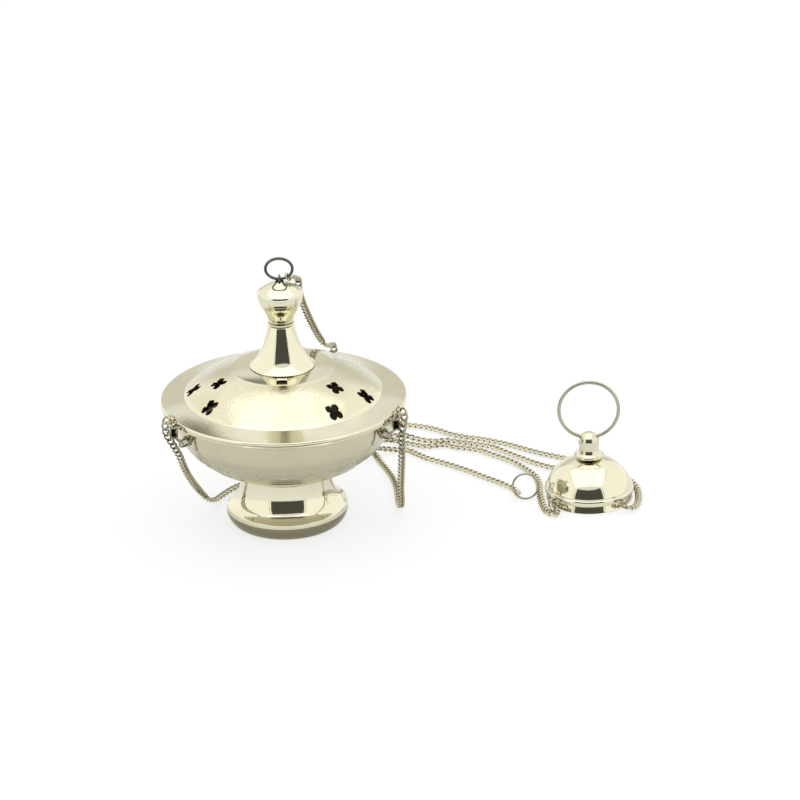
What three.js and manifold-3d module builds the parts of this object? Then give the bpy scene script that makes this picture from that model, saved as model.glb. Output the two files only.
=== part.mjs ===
// A small nickel-plated brass censer: footed bowl, pierced lid with a spire, three chains, a lift chain
// with its pull ring, and a domed hand cap with a large ring. Everything lies as it was set down on a
// table: the censer upright at the left, the slack chains behind it, the hand cap at the right.
// Millimetres, +Z up. While it is modelled, the bowl's axis is X = Y = 0 and the table is Z = 0; the last
// lines move the whole object so that its origin is the middle of its base.
import * as THREE from 'three';
import { mergeVertices } from 'three/addons/utils/BufferGeometryUtils.js';
import Module from 'manifold-3d';

const wasm = await Module();
wasm.setup();

// General sizes
const GAP = 0.3;              // running gap left between pieces that touch
const SHEET = 1.0;            // brass sheet of the spun shells
const SEGMENTS_LARGE = 36;    // facets round the large shells
const SEGMENTS_SMALL = 24;    // facets round the spire and the neck
const CURVE_STEPS = 3;        // straight pieces in each curve of an outline

// Foot
const FOOT_LIP_RADIUS = 25.2;         // inner edge of the turned-in underside
const FOOT_REST_RADIUS = 28.6;        // outer edge of the flat that stands on the table
const FOOT_EDGE_RADIUS = 32.6;        // widest point of the rolled edge
const FOOT_EDGE_HEIGHT = 6;
const FOOT_SHOULDER_RADIUS = 32.3;
const FOOT_SHOULDER_HEIGHT = 9.9;
const FOOT_FLARE_HEIGHT = 14.3;       // where the flare turns up into the neck
const FOOT_NECK_RADIUS = 24.3;
const FOOT_SEAT_RADIUS = 14;          // inner edge of the flange that carries the bowl

// Bowl: lower half of a flattened spheroid with a flat rim
const BOWL_RADIUS = 60.9;
const BOWL_DEPTH = 42.5;
const BOWL_EQUATOR = 68.6;            // height of the spheroid's widest plane
const RIM_WIDTH = 4.6;                // how far the bowl's and the lid's rims stand out past the bowl
const RIM_RADIUS = BOWL_RADIUS + RIM_WIDTH;
const RIM_RISE = 0.2;
const BOWL_RIM_UNDERSIDE = BOWL_EQUATOR + RIM_RISE;
const BOWL_WALL = 1.1;

// Coal liner
const LINER_FLOOR_RADIUS = 17;
const LINER_FLOOR_RISE = 5.7;         // above the bottom of the bowl
const LINER_FLOOR_HEIGHT = BOWL_EQUATOR - BOWL_DEPTH + LINER_FLOOR_RISE;
const LINER_MARGIN = 13.4;            // from the bowl's radius to the liner's mouth
const LINER_MOUTH_RADIUS = BOWL_RADIUS - LINER_MARGIN;
const LINER_RIM_DROP = 14;
const LINER_RIM_HEIGHT = BOWL_EQUATOR - LINER_RIM_DROP;
const LINER_WALL = 0.8;

// Lid
const LID_WALL = 1.1;
const LID_EDGE_HEIGHT = 1.5;          // the lid's upright edge
const LID_BORDER_WIDTH = 12.6;        // plain sloping border
const LID_STEP_RADIUS = RIM_RADIUS - LID_BORDER_WIDTH;
const LID_STEP_RISE = 3.8;            // height of the border's inner edge above the lid's lowest point
const LID_FIELD_WIDTH = 25.9;         // domed field between the border and the crown
const LID_CROWN_RADIUS = LID_STEP_RADIUS - LID_FIELD_WIDTH;
const LID_CROWN_RISE = 18.2;
const LID_FIELD_FULLNESS = 4.4;       // how far below the crown the field's curve is pulled outwards
const LID_TOP_RISE = 19.4;            // height at the axis
const LID_CROWN_FALL = 0.4;           // drop of the crown from the axis to the spire's foot
const REGISTER_WALL = 1.1;            // ring under the lid that drops into the bowl
const REGISTER_CLEARANCE = 0.5;
const REGISTER_DROP = 3.2;

// Piercings of the lid
const PIERCING_GROUPS = 3;
const FIRST_GROUP_AZIMUTH = 201;
const QUATREFOIL_SPAN = 9.4;          // tip to tip across the diagonals
const QUATREFOIL_LOBE_RADIUS = 1.75;
const OUTER_QUATREFOIL_INSET = 5.2;   // from the step
const OUTER_QUATREFOIL_RADIUS = LID_STEP_RADIUS - OUTER_QUATREFOIL_INSET;
const OUTER_QUATREFOIL_SPREAD = 16;   // degrees either side of the group's middle
const INNER_QUATREFOIL_INSET = 9;     // from the crown
const INNER_QUATREFOIL_RADIUS = LID_CROWN_RADIUS + INNER_QUATREFOIL_INSET;
const VENT_INSET = 5.3;
const VENT_RADIUS = LID_CROWN_RADIUS - VENT_INSET;   // oblong vents in the crown
const VENT_WIDTH = 5.6;
const VENT_HEIGHT = 3;
const VENT_AZIMUTHS = [270, 90];

// Spire
const SKIRT_FOOT_RADIUS = 17.4;
const SKIRT_HEIGHT = 23.1;
const SKIRT_KNEE_RADIUS = 10.9;       // where the flare of the skirt passes into its tapered neck
const SKIRT_KNEE_HEIGHT = 9.5;
const WAIST_RADIUS = 6.9;
const COLLAR_RADIUS = 7.2;
const COLLAR_HEIGHT = 1.1;
const KNOP_CONE_RADIUS = 10.2;        // top of the inverted cone under the knop
const KNOP_CONE_HEIGHT = 8.4;
const KNOP_SHOULDER_HEIGHT = 6.5;     // from the cone's top to the band
const KNOP_RADIUS = 12.25;
const KNOP_BAND_HEIGHT = 1.7;
const KNOP_CAP_HEIGHT = 5.9;
const ROD_RADIUS = 2;
const ROD_HOLE_RADIUS = 2.3;
const ROD_TAIL = 6.5;                 // length of the rod below the nut's washer

// Top ring
const EYE_RADIUS = 1.8;               // centreline of the eye
const EYE_WIRE = 0.6;                 // wire radii
const TOP_RING_RADIUS = 7.1;
const TOP_RING_WIRE = 0.8;
const TOP_RING_LEAN = 20;             // degrees that it leans forwards from upright
const LIFT_LINK_RADIUS = 2.05;
const LIFT_LINK_WIRE = 0.5;
const LIFT_LINK_PLACE = 38;           // degrees round the ring from its lowest point

// Bolts, washers and nuts
const BOLT_HEAD_RADIUS = 4.5;
const BOLT_HEAD_HEIGHT = 2.2;
const NUT_FLATS = 7;
const NUT_HEIGHT = 3.2;
const WASHER_HEIGHT = 1.5;
const FOOT_WASHER_RADIUS = 17.5;
const LID_WASHER_RADIUS = 9;

// Ears: where each chain leaves the bowl and passes the lid
const EARS = [['left', 212], ['right', 332], ['back', 92]];
const BOWL_LUG_DROP = 8.4;            // below the bowl's widest plane
const BOWL_LUG_HEIGHT = BOWL_EQUATOR - BOWL_LUG_DROP;
const BOWL_LUG_REACH = 3.6;
const BOWL_LUG_HALF_HEIGHT = 1.9;
const LUG_PLATE = [0.9, 5, 5];
const LUG_WIRE = 0.6;
const LUG_ROOT = 0.3;                 // how deep the wire is let into its plate
const BOWL_RING_RADIUS = 3;
const BOWL_RING_WIRE = 0.55;
const BOWL_RING_LEAN = 38;
const LID_LUG_REACH = 4.1;
const LID_LUG_HALF_WIDTH = 4;

// Chains, drawn as plain tubes of the chain's mean diameter
const CHAIN_RADIUS = 1.5;
const CHAIN_SIDES = 8;
const CHAIN_CUT = 0.5;                // gap between the stretches that a chain is drawn in
const CHAIN_REST = 1.6;               // height of the centreline on the table
const CHAIN_RISE_MARGIN = 2;          // from the rim to where it rises through the lid's lug
const CHAIN_FALL_MARGIN = 7;          // from the rim to where it hangs outside the lug
const CHAIN_RISE_RADIUS = RIM_RADIUS + CHAIN_RISE_MARGIN;
const CHAIN_FALL_RADIUS = RIM_RADIUS + CHAIN_FALL_MARGIN;
const CHAIN_START = 4.9;              // above the bowl's lug
const CHAIN_ARCH_RISE = 5.2;          // top of its arch above the lid's lowest point
const CHAIN_ARCH_FEET = 0.8;          // where the arch's ends are, either side of that point

// Hand cap
const CAP_PLACE = [163.5, 17.6];
const CAP_LIP_RADIUS = 23.5;
const CAP_BEAD_RADIUS = 24.2;
const CAP_BEAD_LOW = 4.2;
const CAP_BEAD_HIGH = 7.4;
const CAP_DOME_RADIUS = 24;
const CAP_DOME_CENTRE = 2.7;
const CAP_DOME_HEIGHT = 21.4;
const CAP_CREST_RADIUS = 5.5;         // small flat that the neck stands on
const CAP_LIP_WIDTH = 1.8;
const CAP_NECK_FLANGE_RADIUS = 8.1;
const CAP_NECK_RADIUS = 5.7;
const CAP_NECK_WAIST = 5.3;
const CAP_NECK_HEIGHT = 14;           // its top is a dome of the neck's own radius
const CAP_RING_RADIUS = 16.05;
const CAP_RING_WIRE = 0.95;
const CAP_RING_HOLE = 1.6;
const CAP_RING_HOLE_DEPTH = 2.9;      // below the top of the neck
const CAP_SCREW_LENGTH = 6;
const CAP_LUGS = [['left', 82], ['right', 222], ['back', 308]];
const CAP_LUG_HEIGHT = (CAP_BEAD_LOW + CAP_BEAD_HIGH) / 2;
const CAP_LUG_REACH = 3.2;
const CAP_LUG_HALF_WIDTH = 2;
const CAP_LINK_RADIUS = 2.2;
const CAP_LINK_WIRE = 0.5;
const CAP_LINK_LEAN = 38;             // degrees that it droops

// Pull ring at the end of the lift chain
const PULL_RING_PLACE = [128.9, 15.2];
const PULL_RING_RADIUS = 6.9;
const PULL_RING_WIRE = 0.6;
const PULL_RING_LEAN = 10;

const degrees = THREE.MathUtils.degToRad;

// Material: one polished nickel, a little darker on the parts that are seldom rubbed
function nickel(shade = 1) {
  const colour = new THREE.Color(0.86 * shade, 0.83 * shade, 0.72 * shade);
  return new THREE.MeshStandardMaterial({ color: colour, roughness: 0.16, metalness: 1 });
}

// Geometry helpers

// Signed volume of an indexed geometry: negative when its faces point inwards.
function signedVolume(geometry) {
  const position = geometry.getAttribute('position');
  const index = geometry.getIndex();
  const [a, b, c] = [new THREE.Vector3(), new THREE.Vector3(), new THREE.Vector3()];
  let volume = 0;
  for (let i = 0; i < index.count; i += 3) {
    a.fromBufferAttribute(position, index.getX(i));
    b.fromBufferAttribute(position, index.getX(i + 1));
    c.fromBufferAttribute(position, index.getX(i + 2));
    volume += a.dot(b.cross(c)) / 6;
  }
  return volume;
}

// Shared vertices merged, empty triangles dropped, faces pointing out.
function closed(geometry) {
  const bare = geometry.clone();
  for (const name of Object.keys(bare.attributes)) {
    if (name !== 'position') bare.deleteAttribute(name);
  }
  const merged = mergeVertices(bare, 1e-4);
  const index = merged.getIndex();
  const kept = [];
  for (let i = 0; i < index.count; i += 3) {
    const corners = [index.getX(i), index.getX(i + 1), index.getX(i + 2)];
    if (new Set(corners).size === 3) kept.push(...corners);
  }
  merged.setIndex(kept);
  if (signedVolume(merged) < 0) {
    for (let i = 0; i < kept.length; i += 3) [kept[i], kept[i + 1]] = [kept[i + 1], kept[i]];
    merged.setIndex(kept);
  }
  return merged;
}

function solid(geometry) {
  const clean = closed(geometry);
  const vertProperties = new Float32Array(clean.getAttribute('position').array);
  const triVerts = new Uint32Array(clean.getIndex().array);
  return new wasm.Manifold(new wasm.Mesh({ numProp: 3, vertProperties, triVerts }));
}

function geometryOf(manifold) {
  const mesh = manifold.getMesh();
  const geometry = new THREE.BufferGeometry();
  geometry.setAttribute('position', new THREE.BufferAttribute(new Float32Array(mesh.vertProperties), 3));
  geometry.setIndex([...mesh.triVerts]);
  return geometry;
}

function join(...geometries) {
  return geometryOf(geometries.map(solid).reduce((whole, next) => whole.add(next)));
}

function cut(geometry, ...tools) {
  return geometryOf(tools.map(solid).reduce((whole, tool) => whole.subtract(tool), solid(geometry)));
}

// An outline of [radius, height] points turned round the Z axis.
function turned(points, segments) {
  const outline = points.map(([radius, height]) => new THREE.Vector2(Math.max(radius, 0), height));
  return closed(new THREE.LatheGeometry(outline, segments).rotateX(Math.PI / 2));
}

// A sheet shell: the skin runs with the outside on its right, and the sheet lies on its left.
function shell(skin, wall, segments) {
  const inner = skin.map(([radius, height], i) => {
    const before = skin[Math.max(i - 1, 0)];
    const after = skin[Math.min(i + 1, skin.length - 1)];
    const first = new THREE.Vector2(radius - before[0], height - before[1]).normalize();
    const second = new THREE.Vector2(after[0] - radius, after[1] - height).normalize();
    const along = first.clone().add(second).normalize();
    const ends = i === 0 || i === skin.length - 1;
    const reach = ends ? wall : wall / Math.max(along.dot(first), 0.5);
    return [Math.max(radius - along.y * reach, 0), height + along.x * reach];
  });
  return turned([...skin, ...inner.reverse(), skin[0]], segments);
}

// Points of a smooth outline: each entry is an end point, or a control point and an end point.
function outline(start, ...steps) {
  const path = new THREE.Path().moveTo(...start);
  for (const step of steps) {
    if (step.length === 2) path.lineTo(...step);
    else path.quadraticCurveTo(...step);
  }
  return path.getPoints(CURVE_STEPS).map((point) => [point.x, point.y]);
}

// Lower quarter (from the axis outwards) of an ellipse, or its upper quarter (from the edge inwards).
function ellipseArc(radius, height, centre, from, to, steps) {
  return Array.from({ length: steps + 1 }, (_, i) => {
    const angle = degrees(from + (to - from) * i / steps);
    return [radius * Math.cos(angle), centre + height * Math.sin(angle)];
  });
}

// A round wire along a curve, closed at both ends.
function wire(curve, radius, sides, steps) {
  const section = new THREE.Shape(Array.from({ length: sides }, (_, i) => {
    const angle = 2 * Math.PI * i / sides;
    return new THREE.Vector2(radius * Math.cos(angle), radius * Math.sin(angle));
  }));
  return closed(new THREE.ExtrudeGeometry(section, { steps, extrudePath: curve, bevelEnabled: false }));
}

function ring(radius, wireRadius, around = 24, sides = 8) {
  return closed(new THREE.TorusGeometry(radius, wireRadius, sides, around));
}

function washer(radius, hole, low, height) {
  return turned([[hole, low], [radius, low], [radius, low + height], [hole, low + height], [hole, low]],
    SEGMENTS_SMALL);
}

function nut(low) {
  const shape = new THREE.Shape(Array.from({ length: 6 }, (_, i) => {
    const corner = NUT_FLATS / Math.sqrt(3);
    return new THREE.Vector2(corner * Math.cos(Math.PI * i / 3), corner * Math.sin(Math.PI * i / 3));
  }));
  shape.holes.push(new THREE.Path().absarc(0, 0, ROD_HOLE_RADIUS, 0, 2 * Math.PI, true));
  const options = { depth: NUT_HEIGHT, bevelEnabled: false, curveSegments: 12 };
  return closed(new THREE.ExtrudeGeometry(shape, options).translate(0, 0, low));
}

// Outside height of the bowl at a radius, and its outside radius at a height.
const bowlHeight = (radius) => BOWL_EQUATOR - BOWL_DEPTH * Math.sqrt(1 - (radius / BOWL_RADIUS) ** 2);
const bowlRadius = (height) => BOWL_RADIUS * Math.sqrt(1 - ((BOWL_EQUATOR - height) / BOWL_DEPTH) ** 2);

const object = new THREE.Group();
const chainNames = new Set();

function add(name, geometry, parent = object, shade = 1) {
  const mesh = new THREE.Mesh(geometry, nickel(shade));
  mesh.name = name;
  parent.add(mesh);
  return mesh;
}

// Foot, and the bolt that holds the bowl on it

function makeFoot() {
  const seat = (radius) => [radius, bowlHeight(radius) - GAP];
  const neckTop = seat(FOOT_NECK_RADIUS - 0.6);
  const skin = [
    ...outline(
      [FOOT_LIP_RADIUS, 0],
      [FOOT_REST_RADIUS, 0],
      [FOOT_EDGE_RADIUS - 0.8, 1.8, FOOT_EDGE_RADIUS, FOOT_EDGE_HEIGHT],
      [FOOT_EDGE_RADIUS, 8.8, FOOT_SHOULDER_RADIUS, FOOT_SHOULDER_HEIGHT],
      [FOOT_NECK_RADIUS, FOOT_FLARE_HEIGHT, FOOT_NECK_RADIUS, neckTop[1] - 0.7],
    ),
    neckTop,
    seat((FOOT_NECK_RADIUS + FOOT_SEAT_RADIUS) / 2),
    seat(FOOT_SEAT_RADIUS),
  ];
  add('foot', shell(skin, SHEET, SEGMENTS_LARGE));

  const underBowl = bowlHeight(0) - GAP;
  const bearing = Math.min(underBowl, bowlHeight(FOOT_SEAT_RADIUS) - 2 * GAP - SHEET) - 0.1;
  const washerLow = bearing - WASHER_HEIGHT;
  const nutLow = washerLow - GAP - NUT_HEIGHT;
  add('foot_washer', washer(FOOT_WASHER_RADIUS, ROD_HOLE_RADIUS, washerLow, WASHER_HEIGHT), object, 0.9);
  add('foot_nut', nut(nutLow), object, 0.9);
  const headLow = bowlHeight(BOLT_HEAD_RADIUS) + BOWL_WALL + 1.4 * GAP;
  add('foot_bolt', turned([
    [0, nutLow - 2], [ROD_RADIUS, nutLow - 2], [ROD_RADIUS, headLow], [BOLT_HEAD_RADIUS, headLow],
    [BOLT_HEAD_RADIUS - 0.3, headLow + 1], [BOLT_HEAD_RADIUS - 1.8, headLow + BOLT_HEAD_HEIGHT - 0.3],
    [0, headLow + BOLT_HEAD_HEIGHT],
  ], SEGMENTS_SMALL), object, 0.9);
}

// Bowl and coal liner

function makeBowl() {
  const holeAngle = -90 + THREE.MathUtils.radToDeg(Math.asin(ROD_HOLE_RADIUS / BOWL_RADIUS));
  const skin = [
    ...ellipseArc(BOWL_RADIUS, BOWL_DEPTH, BOWL_EQUATOR, holeAngle, -5, 10),
    [BOWL_RADIUS + 0.5, BOWL_RIM_UNDERSIDE - 1.2],
    [BOWL_RADIUS + 1.5, BOWL_RIM_UNDERSIDE - 0.2],
    [RIM_RADIUS - 1.6, BOWL_RIM_UNDERSIDE],
    [RIM_RADIUS, BOWL_RIM_UNDERSIDE],
  ];
  add('bowl', shell(skin, BOWL_WALL, SEGMENTS_LARGE));
}

function makeLiner() {
  const seatRadius = bowlRadius(LINER_RIM_HEIGHT) - BOWL_WALL - 2 * GAP;
  const skin = outline(
    [0, LINER_FLOOR_HEIGHT],
    [LINER_FLOOR_RADIUS, LINER_FLOOR_HEIGHT],
    [LINER_MOUTH_RADIUS - 8, LINER_FLOOR_HEIGHT + 1, LINER_MOUTH_RADIUS - 1, LINER_RIM_HEIGHT - 3],
    [LINER_MOUTH_RADIUS - 0.6, LINER_RIM_HEIGHT, LINER_MOUTH_RADIUS + 2, LINER_RIM_HEIGHT],
    [seatRadius, LINER_RIM_HEIGHT],
  );
  add('coal_liner', shell(skin, LINER_WALL, SEGMENTS_LARGE), object, 0.85);
}

// Lid with its piercings

const lidLow = BOWL_RIM_UNDERSIDE + BOWL_WALL + GAP;
const lidTop = lidLow + LID_TOP_RISE;
const lidCrown = lidLow + LID_CROWN_RISE;

// A saltire of four round lobes about a middle, as an upright cutter.
function quatrefoil(radius, azimuth) {
  const reach = QUATREFOIL_SPAN / 2 - QUATREFOIL_LOBE_RADIUS;
  const depth = 40;
  const lobes = [45, 135, 225, 315].map((turn) => {
    const lobe = new THREE.CylinderGeometry(QUATREFOIL_LOBE_RADIUS, QUATREFOIL_LOBE_RADIUS, depth, 10);
    const along = degrees(turn);
    return lobe.rotateX(Math.PI / 2).translate(reach * Math.cos(along), reach * Math.sin(along), 0);
  });
  const middle = new THREE.CylinderGeometry(reach, reach, depth, 4, 1, false, Math.PI / 4);
  const cutter = join(middle.rotateX(Math.PI / 2), ...lobes);
  return cutter.translate(radius, 0, lidLow + LID_CROWN_RISE).rotateZ(degrees(azimuth));
}

function vent(azimuth) {
  const depth = 12;
  const slot = new THREE.BoxGeometry(VENT_HEIGHT, VENT_WIDTH, depth);
  return slot.translate(VENT_RADIUS, 0, lidCrown).rotateZ(degrees(azimuth));
}

function makeLid() {
  const skin = outline(
    [RIM_RADIUS, lidLow],
    [RIM_RADIUS, lidLow + LID_EDGE_HEIGHT - 0.4],
    [RIM_RADIUS, lidLow + LID_EDGE_HEIGHT + 0.1, RIM_RADIUS - 1, lidLow + LID_EDGE_HEIGHT + 0.2],
    [LID_STEP_RADIUS, lidLow + LID_STEP_RISE],
    [(LID_STEP_RADIUS + LID_CROWN_RADIUS) / 2 + 1.6, lidCrown - LID_FIELD_FULLNESS,
      LID_CROWN_RADIUS, lidCrown],
    [SKIRT_FOOT_RADIUS, lidTop - LID_CROWN_FALL],
    [ROD_HOLE_RADIUS, lidTop],
  );
  const registerRadius = BOWL_RADIUS - BOWL_WALL - REGISTER_CLEARANCE;
  const borderLow = lidLow + LID_EDGE_HEIGHT + 0.2;
  const borderShare = (RIM_RADIUS - 1 - registerRadius) / (RIM_RADIUS - 1 - LID_STEP_RADIUS);
  const registerTop = borderLow + (lidLow + LID_STEP_RISE - borderLow) * borderShare - LID_WALL / 2;
  const register = turned([
    [registerRadius - REGISTER_WALL, lidLow - REGISTER_DROP], [registerRadius, lidLow - REGISTER_DROP],
    [registerRadius, registerTop], [registerRadius - REGISTER_WALL, registerTop],
    [registerRadius - REGISTER_WALL, lidLow - REGISTER_DROP],
  ], SEGMENTS_LARGE);
  const cutters = [];
  for (let i = 0; i < PIERCING_GROUPS; i += 1) {
    const middle = FIRST_GROUP_AZIMUTH + 360 * i / PIERCING_GROUPS;
    cutters.push(
      quatrefoil(OUTER_QUATREFOIL_RADIUS, middle - OUTER_QUATREFOIL_SPREAD),
      quatrefoil(OUTER_QUATREFOIL_RADIUS, middle + OUTER_QUATREFOIL_SPREAD),
      quatrefoil(INNER_QUATREFOIL_RADIUS, middle),
    );
  }
  cutters.push(...VENT_AZIMUTHS.map(vent));
  add('lid', cut(join(shell(skin, LID_WALL, SEGMENTS_LARGE), register), ...cutters));
}

// Spire: skirt, collar and knop, held by the long eye bolt

const skirtLow = lidTop - LID_CROWN_FALL + 1.3 * GAP;
const skirtTop = skirtLow + SKIRT_HEIGHT;
const collarLow = skirtTop + GAP;
const knopLow = collarLow + COLLAR_HEIGHT + GAP;
const knopBand = knopLow + KNOP_CONE_HEIGHT + KNOP_SHOULDER_HEIGHT;
const knopTop = knopBand + KNOP_BAND_HEIGHT + KNOP_CAP_HEIGHT;
// The eye's foot sinks into the knop's hole until it comes near the hole's edge.
const eyeFoot = (EYE_RADIUS + EYE_WIRE) ** 2 - (ROD_HOLE_RADIUS - GAP) ** 2;
const eyeHeight = knopTop + Math.max(Math.sqrt(Math.max(eyeFoot, 0)), TOP_RING_WIRE + 1.3 * GAP);
const rodLow = lidTop - LID_WALL - GAP - WASHER_HEIGHT - ROD_TAIL;

function makeSpire() {
  const skirt = outline(
    [SKIRT_FOOT_RADIUS, skirtLow],
    [SKIRT_FOOT_RADIUS, skirtLow + 0.3],
    [SKIRT_FOOT_RADIUS - 3.5, skirtLow + 2.6, SKIRT_KNEE_RADIUS, skirtLow + SKIRT_KNEE_HEIGHT],
    [WAIST_RADIUS + 1.8, skirtLow + SKIRT_KNEE_HEIGHT + 5.2, WAIST_RADIUS, skirtTop - 0.6],
    [WAIST_RADIUS - 0.3, skirtTop],
    [ROD_HOLE_RADIUS, skirtTop],
  );
  add('spire_skirt', shell(skirt, SHEET, SEGMENTS_SMALL));
  add('spire_collar', turned([
    [ROD_HOLE_RADIUS, collarLow], [COLLAR_RADIUS - 0.4, collarLow], [COLLAR_RADIUS, collarLow + 0.35],
    [COLLAR_RADIUS, collarLow + 0.75], [COLLAR_RADIUS - 0.4, collarLow + COLLAR_HEIGHT],
    [ROD_HOLE_RADIUS, collarLow + COLLAR_HEIGHT], [ROD_HOLE_RADIUS, collarLow],
  ], SEGMENTS_SMALL));
  const capLow = knopBand + KNOP_BAND_HEIGHT;
  const knop = outline(
    [ROD_HOLE_RADIUS, knopLow],
    [WAIST_RADIUS - 0.2, knopLow],
    [WAIST_RADIUS + 0.4, knopLow + 4, KNOP_CONE_RADIUS, knopLow + KNOP_CONE_HEIGHT],
    [KNOP_RADIUS - 0.6, knopBand - 4, KNOP_RADIUS, knopBand],
    [KNOP_RADIUS, capLow],
    [KNOP_RADIUS - 0.6, capLow + KNOP_CAP_HEIGHT * 0.2, KNOP_RADIUS - 3, capLow + KNOP_CAP_HEIGHT * 0.4],
    [KNOP_RADIUS - 6.3, capLow + KNOP_CAP_HEIGHT * 0.78, ROD_HOLE_RADIUS, knopTop],
    [ROD_HOLE_RADIUS, knopLow],
  );
  add('spire_knop', turned(knop, SEGMENTS_SMALL));
}

function makeEyeBolt() {
  const rod = turned([
    [0, rodLow], [ROD_RADIUS, rodLow], [ROD_RADIUS, eyeHeight - EYE_RADIUS - EYE_WIRE - 0.1],
    [0, eyeHeight - EYE_RADIUS],
  ], 12);
  const eye = ring(EYE_RADIUS, EYE_WIRE, 20, 8).rotateY(Math.PI / 2).translate(0, 0, eyeHeight);
  add('eye_bolt', join(rod, eye));
  const washerLow = lidTop - LID_WALL - 1.7 * GAP - WASHER_HEIGHT;
  add('lid_washer', washer(LID_WASHER_RADIUS, ROD_HOLE_RADIUS, washerLow, WASHER_HEIGHT), object, 0.9);
  add('lid_nut', nut(washerLow - GAP - NUT_HEIGHT), object, 0.9);
}

function makeTopRing() {
  const hinge = new THREE.Group();
  hinge.position.set(0, 0, eyeHeight);
  hinge.rotation.x = degrees(TOP_RING_LEAN);
  object.add(hinge);
  const upright = ring(TOP_RING_RADIUS, TOP_RING_WIRE, 28).rotateX(Math.PI / 2);
  add('top_ring', upright.translate(0, 0, TOP_RING_RADIUS), hinge);
  const place = degrees(LIFT_LINK_PLACE);
  const outwards = TOP_RING_RADIUS + 0.4;
  const link = ring(LIFT_LINK_RADIUS, LIFT_LINK_WIRE, 14, 6).rotateX(Math.PI / 2).rotateZ(Math.PI / 2);
  link.rotateY(-place).translate(outwards * Math.sin(place), 0, TOP_RING_RADIUS - outwards * Math.cos(place));
  add('lift_link', link, hinge);
}

// Ears: a lug and a ring on the bowl, and a guide lug on the lid, for each side chain

// A staple of wire: two arms and a rounded end, reaching along +X from a start, spread along Y.
function staple(start, reach, halfWidth, wireRadius) {
  const curve = new THREE.CatmullRomCurve3([
    [start, -halfWidth], [start + reach * 0.45, -halfWidth], [start + reach * 0.9, -halfWidth * 0.62],
    [start + reach, 0], [start + reach * 0.9, halfWidth * 0.62], [start + reach * 0.45, halfWidth],
    [start, halfWidth],
  ].map(([x, y]) => new THREE.Vector3(x, y, 0)));
  return wire(curve, wireRadius, 8, 14);
}

function makeEars() {
  const wallRadius = bowlRadius(BOWL_LUG_HEIGHT);
  const slope = Math.atan((BOWL_RADIUS / BOWL_DEPTH) ** 2 * (BOWL_EQUATOR - BOWL_LUG_HEIGHT) / wallRadius);
  const plateFace = LUG_PLATE[0] + GAP;
  const ringFoot = plateFace + BOWL_LUG_REACH - LUG_WIRE - BOWL_RING_WIRE - GAP;
  for (const [side, azimuth] of EARS) {
    const ear = new THREE.Group();
    ear.rotation.z = degrees(azimuth);
    object.add(ear);

    const wall = new THREE.Group();
    wall.position.set(wallRadius, 0, BOWL_LUG_HEIGHT);
    wall.rotation.y = slope;
    ear.add(wall);
    const plate = new THREE.BoxGeometry(...LUG_PLATE).translate(GAP + LUG_PLATE[0] / 2, 0, 0);
    const loop = staple(plateFace - LUG_ROOT, BOWL_LUG_REACH + LUG_ROOT, BOWL_LUG_HALF_HEIGHT, LUG_WIRE);
    add(`bowl_lug_${side}`, join(plate, loop.rotateX(Math.PI / 2)), wall);

    const link = ring(BOWL_RING_RADIUS, BOWL_RING_WIRE, 18, 6).rotateY(Math.PI / 2);
    link.translate(0, 0, BOWL_RING_RADIUS).rotateY(degrees(BOWL_RING_LEAN) - slope);
    add(`bowl_ring_${side}`, link.translate(ringFoot, 0, 0), wall);

    const guide = staple(RIM_RADIUS + GAP, LID_LUG_REACH, LID_LUG_HALF_WIDTH, LUG_WIRE);
    add(`lid_lug_${side}`, guide.translate(0, 0, lidLow + 0.75), ear);
  }
}

// Chains

// Points of a chain's routes: [x, y, z], or [x, y] where it lies on the table.
const place = (points) => points.map(([x, y, z = CHAIN_REST]) => new THREE.Vector3(x, y, z));

// The short arch over a lid lug: up through it from the bowl's ring, over its bar and down outside.
function archOver(azimuth) {
  const top = lidLow + CHAIN_ARCH_RISE;
  const profile = [
    [CHAIN_RISE_RADIUS, BOWL_LUG_HEIGHT + CHAIN_START], [CHAIN_RISE_RADIUS, lidLow - CHAIN_ARCH_FEET],
    [CHAIN_RISE_RADIUS + 0.1, top - 1.2], [(CHAIN_RISE_RADIUS + CHAIN_FALL_RADIUS) / 2, top + 0.6],
    [CHAIN_FALL_RADIUS - 0.1, top - 1.4], [CHAIN_FALL_RADIUS, lidLow + CHAIN_ARCH_FEET],
  ];
  const turn = degrees(azimuth);
  return profile.map(([radius, z]) => [radius * Math.cos(turn), radius * Math.sin(turn), z]);
}

// The rim's radius, the lid's height and the eye's height that the routes below are drawn for.
const ROUTE_RIM = 65.5;
const ROUTE_LID = 70.2;
const ROUTE_EYE = 138.2;

// Points of a fall, spread with the rim and raised with the lid.
const hung = (points) => points.map(([x, y, z = CHAIN_REST]) => [
  x * RIM_RADIUS / ROUTE_RIM, y * RIM_RADIUS / ROUTE_RIM,
  CHAIN_REST + (z - CHAIN_REST) * (lidLow - CHAIN_REST) / (ROUTE_LID - CHAIN_REST),
]);

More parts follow.
